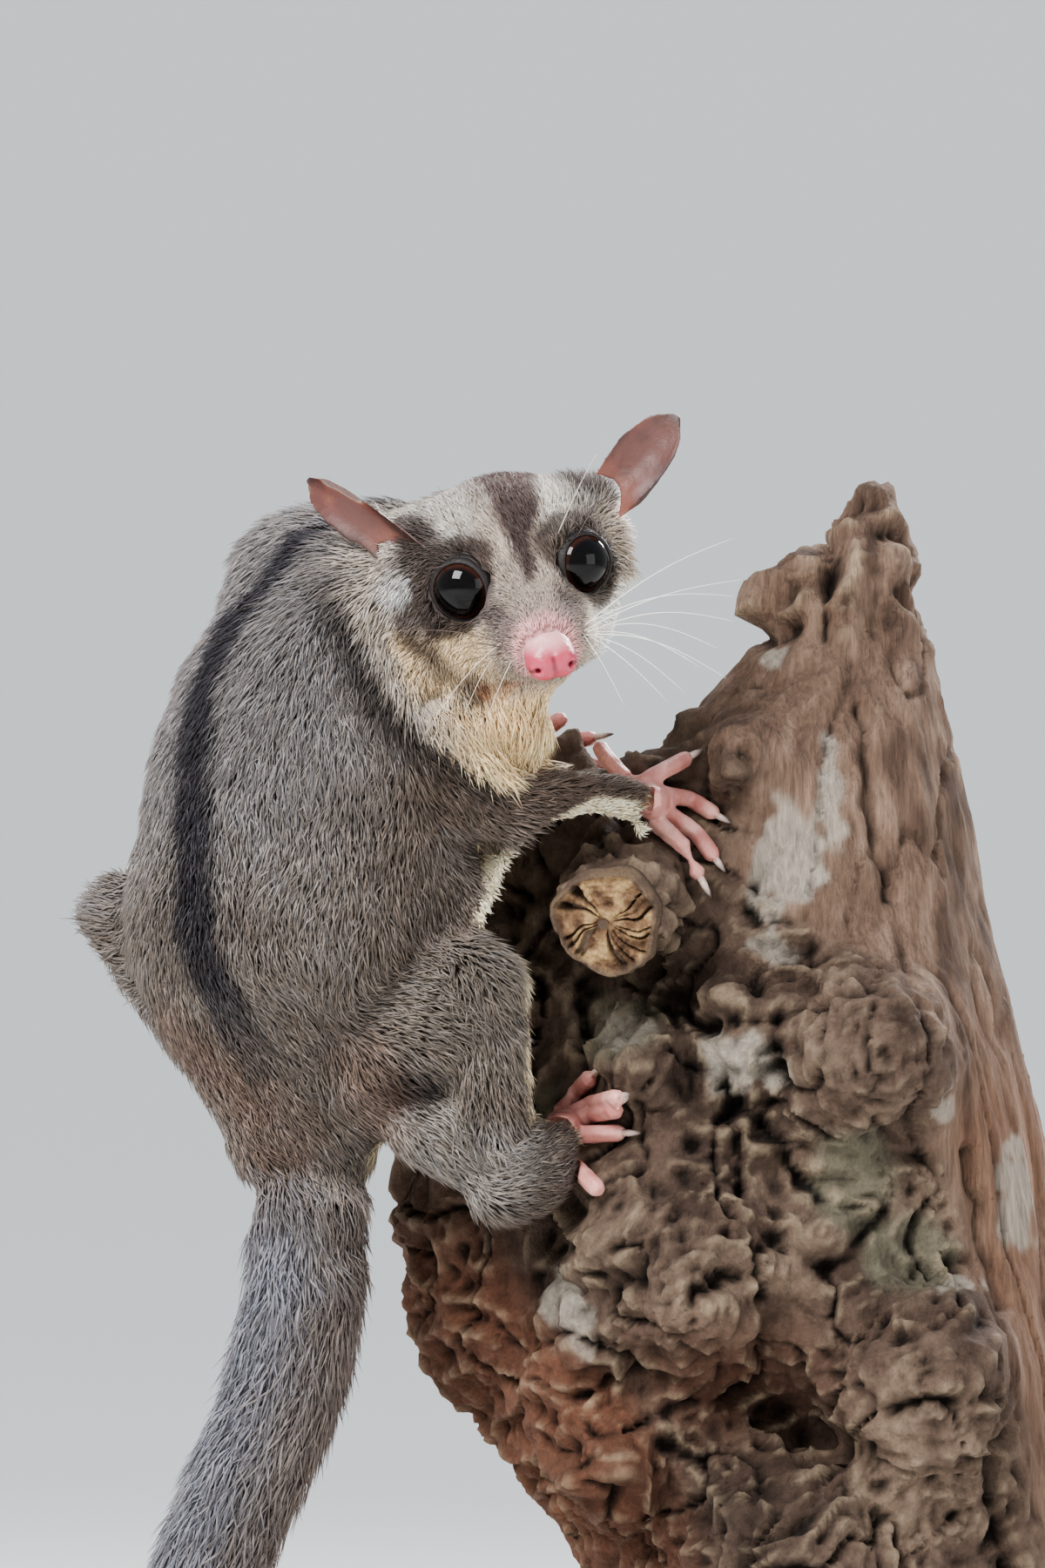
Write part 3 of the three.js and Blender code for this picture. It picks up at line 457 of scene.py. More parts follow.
def face_colours(base, p, mottle):
    right, forward, up = head_frame(p)
    side = np.abs(right)
    left = eased(-right, 0, 8)
    head = head_share(p) * eased(up, -16, -12)
    local = np.c_[right, forward, up]
    mirrored = np.c_[side, forward, up]
    brow = head * eased(side, 3.6, 5.4) * eased(up, 3.2, 6) * faded(forward, 1, 6)
    bridge = head * faded(side, 3, 5.5) * eased(forward, 1, 6)
    cheek = head * eased(side, 5, 9) * eased(-up, 2.6, 6)
    # forehead stripe, broad and soft above, narrow and dark between the eyes
    middle = np.interp(forward, [-12, -2, 2.4, 7.4], [-2.5, -1.8, -1.2, -0.7])
    half = np.interp(forward, [-22, -12, -2, 2.4, 8.4], [5.4, 4.6, 2.5, 1.3, 0.5])
    stripe = faded(np.abs(right - middle) - half + mottle * 0.5, -0.7, 0.9)
    stripe *= eased(up, -2, 0) * head * faded(forward, 6.5, 9.5)
    # dark rings round the eyes, drawn out to the nose and up to the ears
    ring = faded(eye_distance(p, 0.4) + mottle * 0.6, 5.5, 7.3) * head
    to_nose = near_path(mirrored, [(6.4, 5, -1), (5.2, 9.5, -2.3), (4.4, 13, -4.4)])
    to_ear = near_path(mirrored, [(10.4, -3, 4.2), (12.8, -7, 7), (13.6, -10.5, 8.6)])
    band = faded(near_path(local, CHEEK_BAND) + mottle * 1.1, 1.6, 4.0) * (1 - left)
    pale = faded(length(local - [17.2, -5, 1.4]) + mottle, 1.4, 3.4)
    rust = faded(near_path(local, JAW_RUST) + mottle * 0.5, 0.8, 2.6)
    mouth = faded(near_path(local, MOUTH_LINE) + mottle * 0.4, 0.4, 1.5)
    ear_base = faded(length(local - [-12.6, -9.5, 8.2]) + mottle, 2.2, 4.8) * head
    muzzle = head * eased(forward, 9, 14) * eased(up, -9, -5)
    return layered(
        base,
        ("#aca097", head * 0.85),
        ("#c6bfb6", brow * 0.85),
        ("#a6978c", bridge * 0.8),
        ("#d8bf9c", cheek * 0.9),
        ("#fffaf2", cheek * left * 0.95),
        ("#5c4b47", stripe * 0.9),
        ("#352a29", stripe * eased(forward, -8, -1) * 0.6),
        ("#40342f", ring * (0.95 - 0.08 * left)),
        ("#6b5f5d", faded(to_nose + mottle * 0.6, 1.2, 3.2) * head * (0.85 - 0.3 * left)),
        ("#4c403e", faded(to_ear + mottle * 0.5, 1.4, 3.4) * head * (0.85 - 0.35 * left)),
        ("#4d423e", band * 0.85),
        ("#d8d5d2", pale * 0.8),
        ("#a8683f", rust * 0.6),
        ("#553528", mouth * 0.75),
        ("#463b39", ear_base * 0.85),
        ("#b9a19a", muzzle * 0.5),
        ("#e0a9a8", head * eased(forward, 12.4, 15.2) * eased(5 - side, 0, 2) * 0.9),
    )


def markings(p, n):
    mottle = noise(p, 9) * 0.45 + noise(p, 3.2, 2) * 0.55
    base = tail_colours(body_colours(p, mottle), p, n)
    base = throat_colours(base, p, n, mottle)
    return np.clip(face_colours(base, p, mottle), 0.004, 1)


def paint(made, colours, alpha=1.0):
    attribute = made.data.color_attributes.new("markings", "FLOAT_COLOR", "POINT")
    full = np.c_[colours, np.ones(len(colours)) * alpha].astype(np.float32)
    attribute.data.foreach_set("color", full.ravel())


# Under the tufts the skin shows as short dense fur: streaks 0.5 mm wide in colour and relief
paint(skin, markings(skin_points, skin_normals))
underfur = grain_noise(skin_material, 0.9, (1, 1, 0.4), 4)
marked(skin_material, underfur, 0.35, 1.0)
bumped(skin_material, underfur, 0.5)

# Lie of the coat: each line runs along a limb the way its fur points.
FLOW = [
    [(4, -37, 247), (1, -28, 258), (-10, -12, 266), (-26, 0, 262), (-44, 0, 244), (-52, 0, 218)]
    + [(-46, 0, 190), (-33, -4, 172)],
    [(9, -30, 250), (12, -18, 246)],
    [(-6, -32, 250), (-14, -20, 244)],
    [(-12, -20, 244), (-8, -22, 230)],
    [(2, -22, 246), (0, -20, 232)],
    [(-20, -20, 242), (-24, -24, 214), (-28, -24, 186)],
    [(-20, 22, 242), (-26, 26, 200)],
    [(-12, -18, 232), (-4, -22, 222)],
    [(-3, -18, 222), (16, -14, 223)],
    [(-28, -18, 196), (-8, -22, 192)],
    [(-8, -22, 196), (-4, -20, 176)],
    [(-18, -16, 178), (-8, -18, 170)],
    [(-4, -18, 170), (5, -14, 174)],
    [(-40, 6, 196), (-62, 12, 204)],
    [(-60, 14, 204), (-46, 24, 188), (-26, 30, 182)],
    [(-31, -3, 168), (-31, -4, 150), (-45, -5, 112), (-54, -4, 84), (-55, -2, 57), (-50, 0, 20)],
]


def lie(p, n):
    total = np.zeros_like(p)
    for path in FLOW:
        for a, b in zip(path[:-1], path[1:]):
            weight = 1 / (segment_distance(p, a, b) + 1.5) ** 4
            total += weight[:, None] * unit(np.subtract(b, a, dtype=float))
    total -= n * np.sum(total * n, axis=1)[:, None]
    return total / np.maximum(length(total), 1e-9)[:, None]


# Coat: solid, thin, overlapping tufts that bend along the lie, shortest on the face and feet. Each is a
# closed three-sided horn, painted dark at its root as painted shade down in the coat and pale at its tip as
# painted rim light. Its patch of the OFBake map is 0.003 across, at its root's place on the unwrap of the
# skin.
coat_material = new_material("coat", Roughness=0.6, Specular_IOR_Level=0.3)
strand = grain_noise(coat_material, 0.35, (1, 1, 1), 2)
marked(coat_material, strand, 0.72, 1.22)

draw = np.random.default_rng(11)
skin.data.calc_loop_triangles()
corners = values_of(skin.data.loop_triangles, "vertices", 3, np.int32)
corner_loops = values_of(skin.data.loop_triangles, "loops", 3, np.int32)
UNDER_LEFT_EAR = on_head(-14.5, -7, -1)
OVER_LEFT_EAR = on_head(-13, -9.5, 8.4)


# Length and width in millimetres and density of the tufts at a place
def fur_form(p):
    head, tail, neck = head_share(p), tail_share(p), neck_share(p)
    hand = wrist_share(p)
    muzzle = head * eased(head_frame(p)[1], 2, 10)
    size = (4.4 + 0.9 * neck) * (1 - head) + (2.7 - 1.4 * muzzle) * head
    size = size * (1 - tail) + 7.6 * tail
    size = size * (1 - 0.3 * hand * (1 - tail))
    fringe = np.min([near_path(p, path) for path in GLIDING_EDGE], axis=0)
    size = size * (0.45 + 0.55 * eased(fringe, 2, 4.5))
    size = size + 2.2 * faded(length(p - UNDER_LEFT_EAR), 2, 6) + 1.4 * faded(length(p - OVER_LEFT_EAR), 2, 5)
    width = (0.175 - 0.03 * neck) * (1 - head) + (0.125 - 0.03 * muzzle) * head
    width = width * (1 - tail) + 0.21 * tail
    width = width * (1 - 0.3 * hand * (1 - tail))
    density = (1 + 2.2 * head + 1.4 * muzzle + 0.9 * hand + 0.6 * neck) * (1 - tail) + tail
    hidden = eased(p[:, 1], 4, 16) * (1 - head) * (1 - tail)
    return size, width, density * (1 - 0.4 * hidden)


def nose_distance(p, forward):
    return length(p - on_head(0, forward, -7))


def scatter(count):
    a, b, c = (skin_points[corners[:, i]] for i in range(3))
    area = length(np.cross(b - a, c - a)) / 2
    middle = (a + b + c) / 3
    ear_root = segment_distance(middle, (-16, -18.6, 257.2), (-21, -15, 261))
    bare = eased(ear_root, 1.2, 2.2) * eased(eye_distance(middle), 4.75, 5.2)
    weight = area * fur_form(middle)[2] * bare * eased(nose_distance(middle, 18), 4.0, 4.8)
    chosen = draw.choice(len(corners), count, p=weight / weight.sum())
    u, v = draw.random(count), draw.random(count)
    flip = u + v > 1
    u[flip], v[flip] = 1 - u[flip], 1 - v[flip]
    shares = np.c_[1 - u - v, u, v]
    place = np.einsum("ij,ijk->ik", shares, skin_points[corners[chosen]])
    n = np.einsum("ij,ijk->ik", shares, skin_normals[corners[chosen]])
    spot = np.einsum("ij,ijk->ik", shares, skin_uv[corner_loops[chosen]])
    return place, unit(n), spot


# A tuft's faces and its patch: the root's end, then on each side the lower half and the tip
TUFT_FACES = [[0, 2, 1]]
TUFT_PATCH = [[(0.1, 0), (0.3, 0), (0.2, 0.1)]]
for k in range(3):
    m = (k + 1) % 3
    TUFT_FACES += [[k, m, 3 + m], [k, 3 + m, 3 + k], [3 + k, 3 + m, 6]]
    left_edge, right_edge, low, high = k / 3, (k + 1) / 3, 0.1, 0.5
    TUFT_PATCH += [
        [(left_edge, low), (right_edge, low), (right_edge, high)],
        [(left_edge, low), (right_edge, high), (left_edge, high)],
        [(left_edge, high), (right_edge, high), ((left_edge + right_edge) / 2, 1)],
    ]
TUFT_FACES = np.array(TUFT_FACES)
TUFT_PATCH = (np.array(TUFT_PATCH).reshape(-1, 2) - 0.5) * 0.003
# each tuft's painted shade at the root and painted rim light at the tip, as factors on its colour
TUFT_ROOT_SHADE_TIP_LIGHT = np.array([0.66, 0.66, 0.66, 0.98, 0.98, 0.98, 1.32])


# True where a tuft's point keeps clear of the eyes and the nose
def tip_clear(p):
    return (eye_distance(p, 1.5) > 4.55) & (nose_distance(p, 18.6) > 3.4)


def tufts(name, roots, n, spots):
    count = len(roots)
    size, width, _ = fur_form(roots)
    way = lie(roots, n)
    across = np.cross(n, way)
    swing = draw.normal(0, 0.2, count) + noise(roots, 5, 5) * 0.3
    way = way * np.cos(swing)[:, None] + across * np.sin(swing)[:, None]
    across = np.cross(n, way)
    size = size * draw.uniform(0.7, 1.2, count)
    width = width * draw.uniform(0.75, 1.2, count)
    rise = draw.uniform(0.26, 0.52, count) + noise(roots, 4, 8) * 0.1
    rise = rise * (1 - 0.35 * head_share(roots) * (eye_distance(roots) < 8))
    rise = rise + 0.35 * faded(length(roots - UNDER_LEFT_EAR), 2, 6)
    middle = roots + way * (size * 0.5)[:, None] + n * (size * rise * 0.6)[:, None]
    tip = roots + way * (size * 0.98)[:, None] + n * (size * rise * 0.78)[:, None]
    tip = tip + across * (size * draw.normal(0, 0.08, count))[:, None]
    points = np.empty((count, 7, 3))
    for ring, (centre, scale) in enumerate([(roots - n * 0.25, 1.0), (middle, 0.85)]):
        for k in range(3):
            angle = 2 * math.pi * k / 3 + math.pi / 2
            out = across * math.cos(angle) * 1.25 + n * math.sin(angle) * 0.7
            points[:, ring * 3 + k] = centre + out * (width * scale)[:, None]
    points[:, 6] = tip
    keep = tip_clear(tip) & tip_clear(middle)
    points, spots, roots, n = points[keep], spots[keep], roots[keep], n[keep]
    count = len(points)
    faces = (np.arange(count) * 7)[:, None, None] + TUFT_FACES[None]
    made = mesh_object(name, metres(points.reshape(-1, 3)), faces.reshape(-1, 3), coat_material)
    layer = made.data.uv_layers.new(name="OFBake")
    patches = spots[:, None, :] + TUFT_PATCH[None]
    layer.data.foreach_set("uv", patches.astype(np.float32).ravel())
    base = markings(roots, n)
    shade = draw.normal(0, 0.15, count)[:, None] + 1 + noise(roots, 1.7, 12)[:, None] * 0.16
    warm = draw.normal(0, 0.03, count)[:, None] * np.array([1, 0.2, -1])
    colour = np.clip(base * shade + base * warm, 0.003, 1)
    paint(made, np.clip(colour[:, None] * TUFT_ROOT_SHADE_TIP_LIGHT[:, None], 0.002, 0.95).reshape(-1, 3))
    return made


COUNT = 148000
roots, root_normals, root_spots = scatter(COUNT)
ZONES = {
    "coat_head": (head_frame(roots)[1] > -12) & (roots[:, 2] > 236),
    "coat_tail": tail_share(roots) > 0.5,
    "coat_legs": (roots[:, 0] > -18) & (roots[:, 2] < 226),
    "coat_shoulders": roots[:, 2] > 226,
    "coat_back": roots[:, 2] > 205,
    "coat_rump": roots[:, 2] <= 205,
}
MOST_TUFTS = 19000  # keeps each piece under 200,000 triangles
zone = np.argmax(list(ZONES.values()), axis=0)
for number, name in enumerate(ZONES):
    inside = np.flatnonzero(zone == number)
    shares = np.array_split(inside, max(1, math.ceil(len(inside) / MOST_TUFTS)))
    for part, chosen in enumerate(shares):
        label = f"{name}_{part + 1}"
        piece = tufts(label, roots[chosen], root_normals[chosen], root_spots[chosen])
        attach(piece, "root")

# Eyes: the animal's large night eyes, glossy wet balls with a wide black pupil and a thin brown iris.
# Each sits in a dark, slightly uneven rim of bare lid.
eye_material = new_material("wet_eye", Roughness=0.03, IOR=1.38, Specular_IOR_Level=0.42)
marked(eye_material, grain_noise(eye_material, 0.6, (1, 1, 1), 2), 0.7, 1.3)
lid_material = new_material("bare_lid", Base_Color="#1b1413", Roughness=0.6)
bumped(lid_material, grain_noise(lid_material, 0.4), 0.12)


def circle(count):
    return np.arange(count) * 2 * math.pi / count


# Triangles between rings of points that follow one another, and on round to the first if closed
def grid_faces(rings, around, closed=False):
    ring, place = np.divmod(np.arange((rings if closed else rings - 1) * around), around)
    here, after = ring * around, (ring + 1) % rings * around
    turn = (place + 1) % around
    corners_of = [here + place, here + turn, after + turn, here + place, after + turn, after + place]
    return np.transpose(corners_of).reshape(-1, 3)


# Triangles from one point to a ring
def fan(centre, first, around):
    place = np.arange(around)
    return np.c_[np.full(around, centre), first + place, first + (place + 1) % around]


# Triangles of a closed form: rings of points, then the two points that its end fans run to
def capped_faces(rings, around):
    count = rings * around
    ends = [fan(count, 0, around)[:, ::-1], fan(count + 1, count - around, around)]
    return np.vstack([grid_faces(rings, around), *ends])


# Points of a profile of radii and heights, turned about an upright line
def turned_points(profile, around, x=0.0, y=0.0):
    a = circle(around)
    return np.array([(x + r * c, y + r * s, z) for r, z in profile for c, s in zip(np.cos(a), np.sin(a))])


# Closed tube of triangles through points, with a radius at each
def tube(path, radii, sides):
    along = unit(np.gradient(path, axis=0))
    hint = [0, 0, 1.0] if abs(along[0, 2]) < 0.8 else [0, 1.0, 0]
    across = unit(np.cross(along, hint))
    over = np.cross(across, along)
    angle = circle(sides)[:, None]
    ring = across[:, None] * np.cos(angle) + over[:, None] * np.sin(angle)
    points = (path[:, None] + ring * np.asarray(radii)[:, None, None]).reshape(-1, 3)
    return np.vstack([points, path[0], path[-1]]), capped_faces(len(path), sides)


def joined(parts):
    starts = np.cumsum([0] + [len(points) for points, _ in parts])
    faces = [part_faces + start for (_, part_faces), start in zip(parts, starts)]
    return np.vstack([points for points, _ in parts]), np.vstack(faces)


LID_AROUND, LID_SIDES = 72, 8
for name, side in (("right", 1), ("left", -1)):
    centre = on_head(side * EYE_SIDE, 0, 0)
    gaze = unit(FORWARD + side * 0.5 * HEAD_RIGHT + 0.1 * HEAD_UP)
    shape = bmesh.new()
    bmesh.ops.create_uvsphere(shape, u_segments=64, v_segments=40, radius=EYE_RADIUS / 1000)
    bmesh.ops.triangulate(shape, faces=shape.faces)
    bmesh.ops.translate(shape, verts=shape.verts, vec=Vector(metres(centre)))
    eyeball = object_of(f"eye_{name}_ball", shape, eye_material)
    off_gaze = 1 - (millimetres(points_of(eyeball)) - centre) @ gaze / EYE_RADIUS
    iris, iris_edge = eased(off_gaze, 0.3, 0.42), eased(off_gaze, 0.46, 0.54)
    paint(eyeball, layered(plain("#050304", off_gaze), ("#341a10", iris), ("#0e0808", iris_edge)))
    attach(eyeball, "root")
    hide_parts(f"eye_{name}")

    # The rim follows the ball at about 66 degrees from the gaze, with a fold at each corner. A second,
    # lower ring fills the socket behind it.
    u = unit(np.cross(gaze, HEAD_UP))
    v = np.cross(u, gaze)
    a = circle(LID_AROUND)[:, None, None]
    b = circle(LID_SIDES)[:, None]
    outward = u * np.cos(a) + v * np.sin(a)
    fold = 1 + 0.2 * np.abs(np.cos(a)) ** 3
    rings = []
    for lean, rise, thick, wide in [(66, 0.08, 0.29, 0.7), (83, 0.02, 0.32, 1.1)]:
        tilt = np.radians(lean - 2.5 * np.cos(2 * a) - 1.5 * np.sin(a))
        way = gaze * np.cos(tilt) + outward * np.sin(tilt)
        slope = outward * np.cos(tilt) - gaze * np.sin(tilt)
        section = (way * thick * np.sin(b) + slope * wide * np.cos(b)) * fold
        ring_points = (centre + way * (EYE_RADIUS + rise) + section).reshape(-1, 3)
        rings.append((ring_points, grid_faces(LID_AROUND, LID_SIDES, closed=True)))
    rim_points, rim_faces = joined(rings)
    lids = mesh_object(f"lids_{name}", metres(rim_points), rim_faces, lid_material)
    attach(lids, "root")

# Bare skin: the pink nose, the thin ears, and the hands and feet with their soft wrinkled digits. Each
# is the CAD solid remade at a finer mesh, painted by place and lightly wrinkled.
soft_skin = {"Subsurface_Weight": 0.22, "Subsurface_Scale": 0.0015, "Subsurface_Radius": (1, 0.4, 0.25)}
paw_material = new_material("bare_paw", Roughness=0.45, **soft_skin)
ear_material = new_material("thin_ear", Roughness=0.5, **{**soft_skin, "Subsurface_Weight": 0.1})
nose_material = new_material("damp_nose", Roughness=0.24, **soft_skin)
for material, size, relief in [
    (paw_material, 0.55, 0.16),
    (ear_material, 0.7, 0.1),
    (nose_material, 0.35, 0.06),
]:
    wrinkles = grain_noise(material, size, (1, 1, 1), 4, 0.6)
    marked(material, wrinkles, 0.86, 1.14)
    bumped(material, wrinkles, relief)


def paw_colours(name, p, n):
    under = n[:, 1] if "right" in name else -n[:, 1]
    return layered(
        plain("#cc928a", p),
        ("#dfb3a8", eased(noise(p, 3, 3), 0.0, 0.6) * 0.7),
        ("#b06c64", eased(-noise(p, 2.2, 4), 0.1, 0.7) * 0.6),
        ("#b86f68", eased(under, 0.0, 0.7) * 0.5),
    )


# Each ear's middle line, from its root to its tip
EAR_LINES = {
    "ear_right": ((-15, -12, 257.5), (-30.2, -12.4, 268.8)),
    "ear_left": ((11.6, -12, 264), (22.3, -13, 276.9)),
}


def ear_colours(name, p, n):
    root, tip = np.array(EAR_LINES[name])
    t = np.clip((p - root) @ (tip - root) / np.dot(tip - root, tip - root), 0, 1)
    edge = eased(segment_distance(p, root, tip), 3.4, 4.9) + eased(t, 0.88, 1.0)
    # where the ear's cup gets its painted shade
    hollow = faded(length((p - [-18.2, -20, 258.4]) * [1, 0.3, 1.4]), 0.8, 2.6)
    return layered(
        plain("#5d3b35", p),
        ("#8a5547", faded(t, 0.05, 0.5) * 0.7),
        ("#4a302c", eased(noise(p, 2.4, 6), 0.0, 0.6) * 0.6),
        ("#2a1c1a", np.clip(edge, 0, 1) * 0.85),
        ("#54413c", eased(n[:, 1], 0.0, 0.6) * 0.8),
        # painted highlight: faces turned upward are painted paler and greyer
        ("#8f8282", eased(n[:, 2], 0.3, 0.8) * 0.7),
        # painted shade in the ear's cup
        ("#4a1c19", hollow * 0.8),
    )


def nose_colours(name, p, n):
    right, _, up = head_frame(p)
    aside = np.abs(right) - 2.7
    slit = length(np.c_[aside, (up + 7.6 + 0.3 * aside) * 2.4])
    return layered(
        plain("#b44a5b", p),
        # the nose's top: its own paler skin with painted highlight
        ("#e6b3b4", eased(up, -6.0, -4.0) * 0.75),
        # painted shade in the groove down the middle and in the nostril slits
        ("#7c2a38", faded(np.abs(right), 0.1, 0.55) * eased(-up, 5.2, 6.2) * 0.85),
        ("#6b262e", faded(slit, 0.5, 1.2) * 0.9),
        ("#c4606a", eased(-up, 7.6, 9) * 0.7),
    )


for name, voxel, rounds, material, colours in [
    ("nose", 0.00018, 7, nose_material, nose_colours),
    ("ear_right", 0.00022, 6, ear_material, ear_colours),
    ("ear_left", 0.00022, 6, ear_material, ear_colours),
    ("hand_right", 0.00022, 6, paw_material, paw_colours),
    ("foot_right", 0.00022, 6, paw_material, paw_colours),
    ("hand_left", 0.0003, 5, paw_material, paw_colours),
    ("foot_left", 0.0003, 5, paw_material, paw_colours),
]:
    piece = remade(f"{name}_skin", [name], voxel, material)
    set_points(piece, smoothed(points_of(piece), edges_of(piece), rounds))
    if name == "nose":
        # the nostrils' pits are softened
        right, forward, up = head_frame(millimetres(points_of(piece)))
        pit = length(np.c_[np.abs(right) - 2.6, forward - 20.4, up + 7.7])
        set_points(piece, smoothed(points_of(piece), edges_of(piece), 50, faded(pit, 1.2, 2.2)))
    place = millimetres(points_of(piece))
    wrinkle = noise(place, 1.1, 5) * 0.07
    if "ear" in name:
        wrinkle = noise(place, 2.2, 5) * 0.16 + noise(place, 5, 9) * 0.3
    place = place + normals_of(piece) * wrinkle[:, None]
    if name == "ear_right":
        # the ear's base is drawn out over the fur, with a hollow where it opens
        from_root = place - EAR_LINES[name][0]
        along, aside = from_root @ [-0.8, 0, 0.6], from_root @ [0.6, 0, 0.8]
        hollow = faded(np.abs(aside + 1.2), 0.7, 2.8) * faded(along, 5, 10.5)
        place = place + faded(along, 5, 16)[:, None] * [4.2, -4.0, -3.2]
        place = place + hollow[:, None] * [2.2, -0.8, -1.65]
    set_points(piece, metres(place))
    paint(piece, colours(name, millimetres(points_of(piece)), normals_of(piece)))
    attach(piece, "root")
    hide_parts(name)

# Claws: small hooked horn claws, one to a finger or toe, seated in its tip. They are found from the
# digit's own mesh: its end along the line from the middle joint to the tip.
claw_material = new_material("horn_claw", Roughness=0.3)
marked(claw_material, grain_noise(claw_material, 0.3, (1, 1, 1), 2), 0.8, 1.2)
# Digits: x and z of the middle joint, then of the tip
DIGITS = {
    "hand_right": [(20.2, 226.4, 23.4, 228.1), (24, 222.4, 27.3, 220.4)]
    + [(24.8, 217.6, 27.2, 214.4), (23, 215.6, 25, 211.9)],
    "foot_right": [(7.6, 180, 9.6, 182.2), (10, 178.6, 13.4, 179.8)]
    + [(10.2, 177.2, 13.2, 178), (10, 174.4, 13.6, 174.6)],
    "hand_left": [(6.6, 230.6, 10, 231.2), (7.8, 227.4, 11.4, 227)]
    + [(7, 223.6, 10.2, 222), (4, 221.2, 6, 218.8)],
    "foot_left": [(-8.4, 187.8, -5.8, 190), (-6, 185.6, -2.4, 186.6)]
    + [(-5.4, 182.6, -1.6, 182.8), (-6.8, 178.8, -3.4, 177.4)],
}
# A claw's hook: how far along the digit, how far inward, and the radius
CLAW_ALONG, CLAW_INWARD = [-0.9, 0.5, 1.3, 2.0, 2.5], [0.0, -0.25, -0.25, 0.1, 0.6]
CLAW_RADII, CLAW_SIDES = [0.56, 0.5, 0.38, 0.24, 0.07], 8
claw_parts = []
for name, digits in DIGITS.items():
    place = millimetres(points_of(bpy.data.objects[f"{name}_skin"]))
    inward = 1.0 if "right" in name else -1.0
    for joint_x, joint_z, tip_x, tip_z in digits:
        heading = unit(np.array([tip_x - joint_x, 0, tip_z - joint_z]))
        near = place[np.hypot(place[:, 0] - tip_x, place[:, 2] - tip_z) < 2.2]
        reach = near @ heading
        tip = near[reach > reach.max() - 0.5].mean(axis=0)
        way = unit(tip - near[reach < reach.max() - 1.6].mean(axis=0))
        path = tip + np.outer(CLAW_ALONG, way) + np.outer(CLAW_INWARD, [0, inward, 0])
        claw_parts.append(tube(path, CLAW_RADII, CLAW_SIDES))
claw_points, claw_faces = joined(claw_parts)
claws = mesh_object("claws", metres(claw_points), claw_faces, claw_material)
fade = np.tile(np.r_[np.repeat(np.linspace(0, 1, len(CLAW_RADII)), CLAW_SIDES), 0, 1], len(claw_parts))
paint(claws, layered(plain("#c9b3a8", fade), ("#4f4643", eased(fade, 0.15, 0.9))))
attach(claws, "root")

# Whiskers: stiff tapered hairs rooted in the lip pads and above the eyes, pale where they stand off the
# face and darker across the cheek. Each is one closed curved cone.
whisker_material = new_material("whisker", Roughness=0.35)
marked(whisker_material, grain_noise(whisker_material, 0.5), 0.9, 1.1)
PAD_LEFT, PAD_RIGHT = on_head(-4.4, 11.5, -6.2), on_head(4.4, 11.5, -6.2)
# Root, colour, and each whisker's tip with its sag
WHISKERS = [
    (PAD_LEFT, "#e9e6dc", [(29.5, -34, 259, 1.6), (30.6, -33, 253.2, 1.8), (29.6, -28, 251, 2.0)]),
    (PAD_LEFT, "#e9e6dc", [(29.7, -31, 247.4, 2.2), (27.5, -29, 243.6, 2.6), (28.6, -32, 239.4, 2.4)]),
    (PAD_LEFT, "#e9e6dc", [(25, -27, 241, 2.2), (23, -30, 237.2, 2.0), (20.6, -26, 236, 1.4)]),
    (PAD_LEFT, "#e9e6dc", [(14.4, -31, 235.4, 1.0)]),
    (PAD_RIGHT, "#5a4a44", [(-11, -34, 243.4, 0.8), (-14, -33, 239, 1.2)]),
    (PAD_RIGHT, "#8a7466", [(-10.4, -35, 237, 1.0)]),
    (PAD_RIGHT, "#d9cdbb", [(-8, -36, 234.6, 1.0), (-13.6, -33, 231.7, 1.6), (-5.4, -36, 232.4, 0.8)]),
    (PAD_RIGHT, "#6a5a52", [(-17, -36, 246, 1.0)]),
    (on_head(-8.6, 1.5, 5.4), "#5a4a44", [(13.4, -27, 268, 0.6)]),
    (on_head(-7.6, 2, 5.6), "#d9cdbb", [(10.4, -29, 271, 0.5)]),
    (on_head(8, 1.5, 5.4), "#5a4a44", [(-12, -28, 266.6, 0.6)]),
]
turn = np.random.default_rng(23)
t = np.linspace(0, 1, 13)
taper = np.interp(t, [0, 0.3, 1], [0.08, 0.068, 0.024])
whisker_parts, whisker_tones = [], []
for pad, colour, tips in WHISKERS:
    for *tip, sag in tips:
        root = pad + turn.normal(0, 0.9, 3) * [1, 0.3, 1]
        path = root + (tip - root) * t[:, None] + np.outer(np.sin(math.pi * t), [0, -0.6 * sag, sag])
        whisker_parts.append(tube(path, taper, 5))
        whisker_tones.append(plain(colour, whisker_parts[-1][0]))
whisker_points, whisker_faces = joined(whisker_parts)
whiskers = mesh_object("whiskers", metres(whisker_points), whisker_faces, whisker_material)
paint(whiskers, np.vstack(whisker_tones))
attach(whiskers, "root")

# Perch: a dead trunk, weathered grey, with long split grain on the right and gnarled burls, knots and
# pits on the near side. The CAD trunk is remade finely and its burls, cracks and grain are cut into the
# mesh. Where the animal lies on it, the relief fades so that the hands and feet keep their hold.
wood_material = new_material("weathered_wood", Roughness=0.85, Specular_IOR_Level=0.3)
perch = remade("perch", ["perch_trunk"], 0.00078, wood_material)
perch_edges = edges_of(perch)
perch_points = smoothed(points_of(perch), perch_edges, 5)
set_points(perch, perch_points)
perch_normals = normals_of(perch)
mm = millimetres(perch_points)
px, py, pz = mm.T

# Centre of the column at each height, and the edge of the gnarled side
COLUMN_HEIGHTS, COLUMN_MIDDLE = [92, 150, 178, 205, 226, 240, 264], [57, 42, 41, 40, 43.5, 47.2, 50.4]
GNARL_HEIGHTS = [103, 129, 151, 174, 186, 199, 204, 212, 226, 232, 240]
GNARL_EDGE = [76, 71, 65, 58, 62, 50, 40, 30, 33, 27, 21]
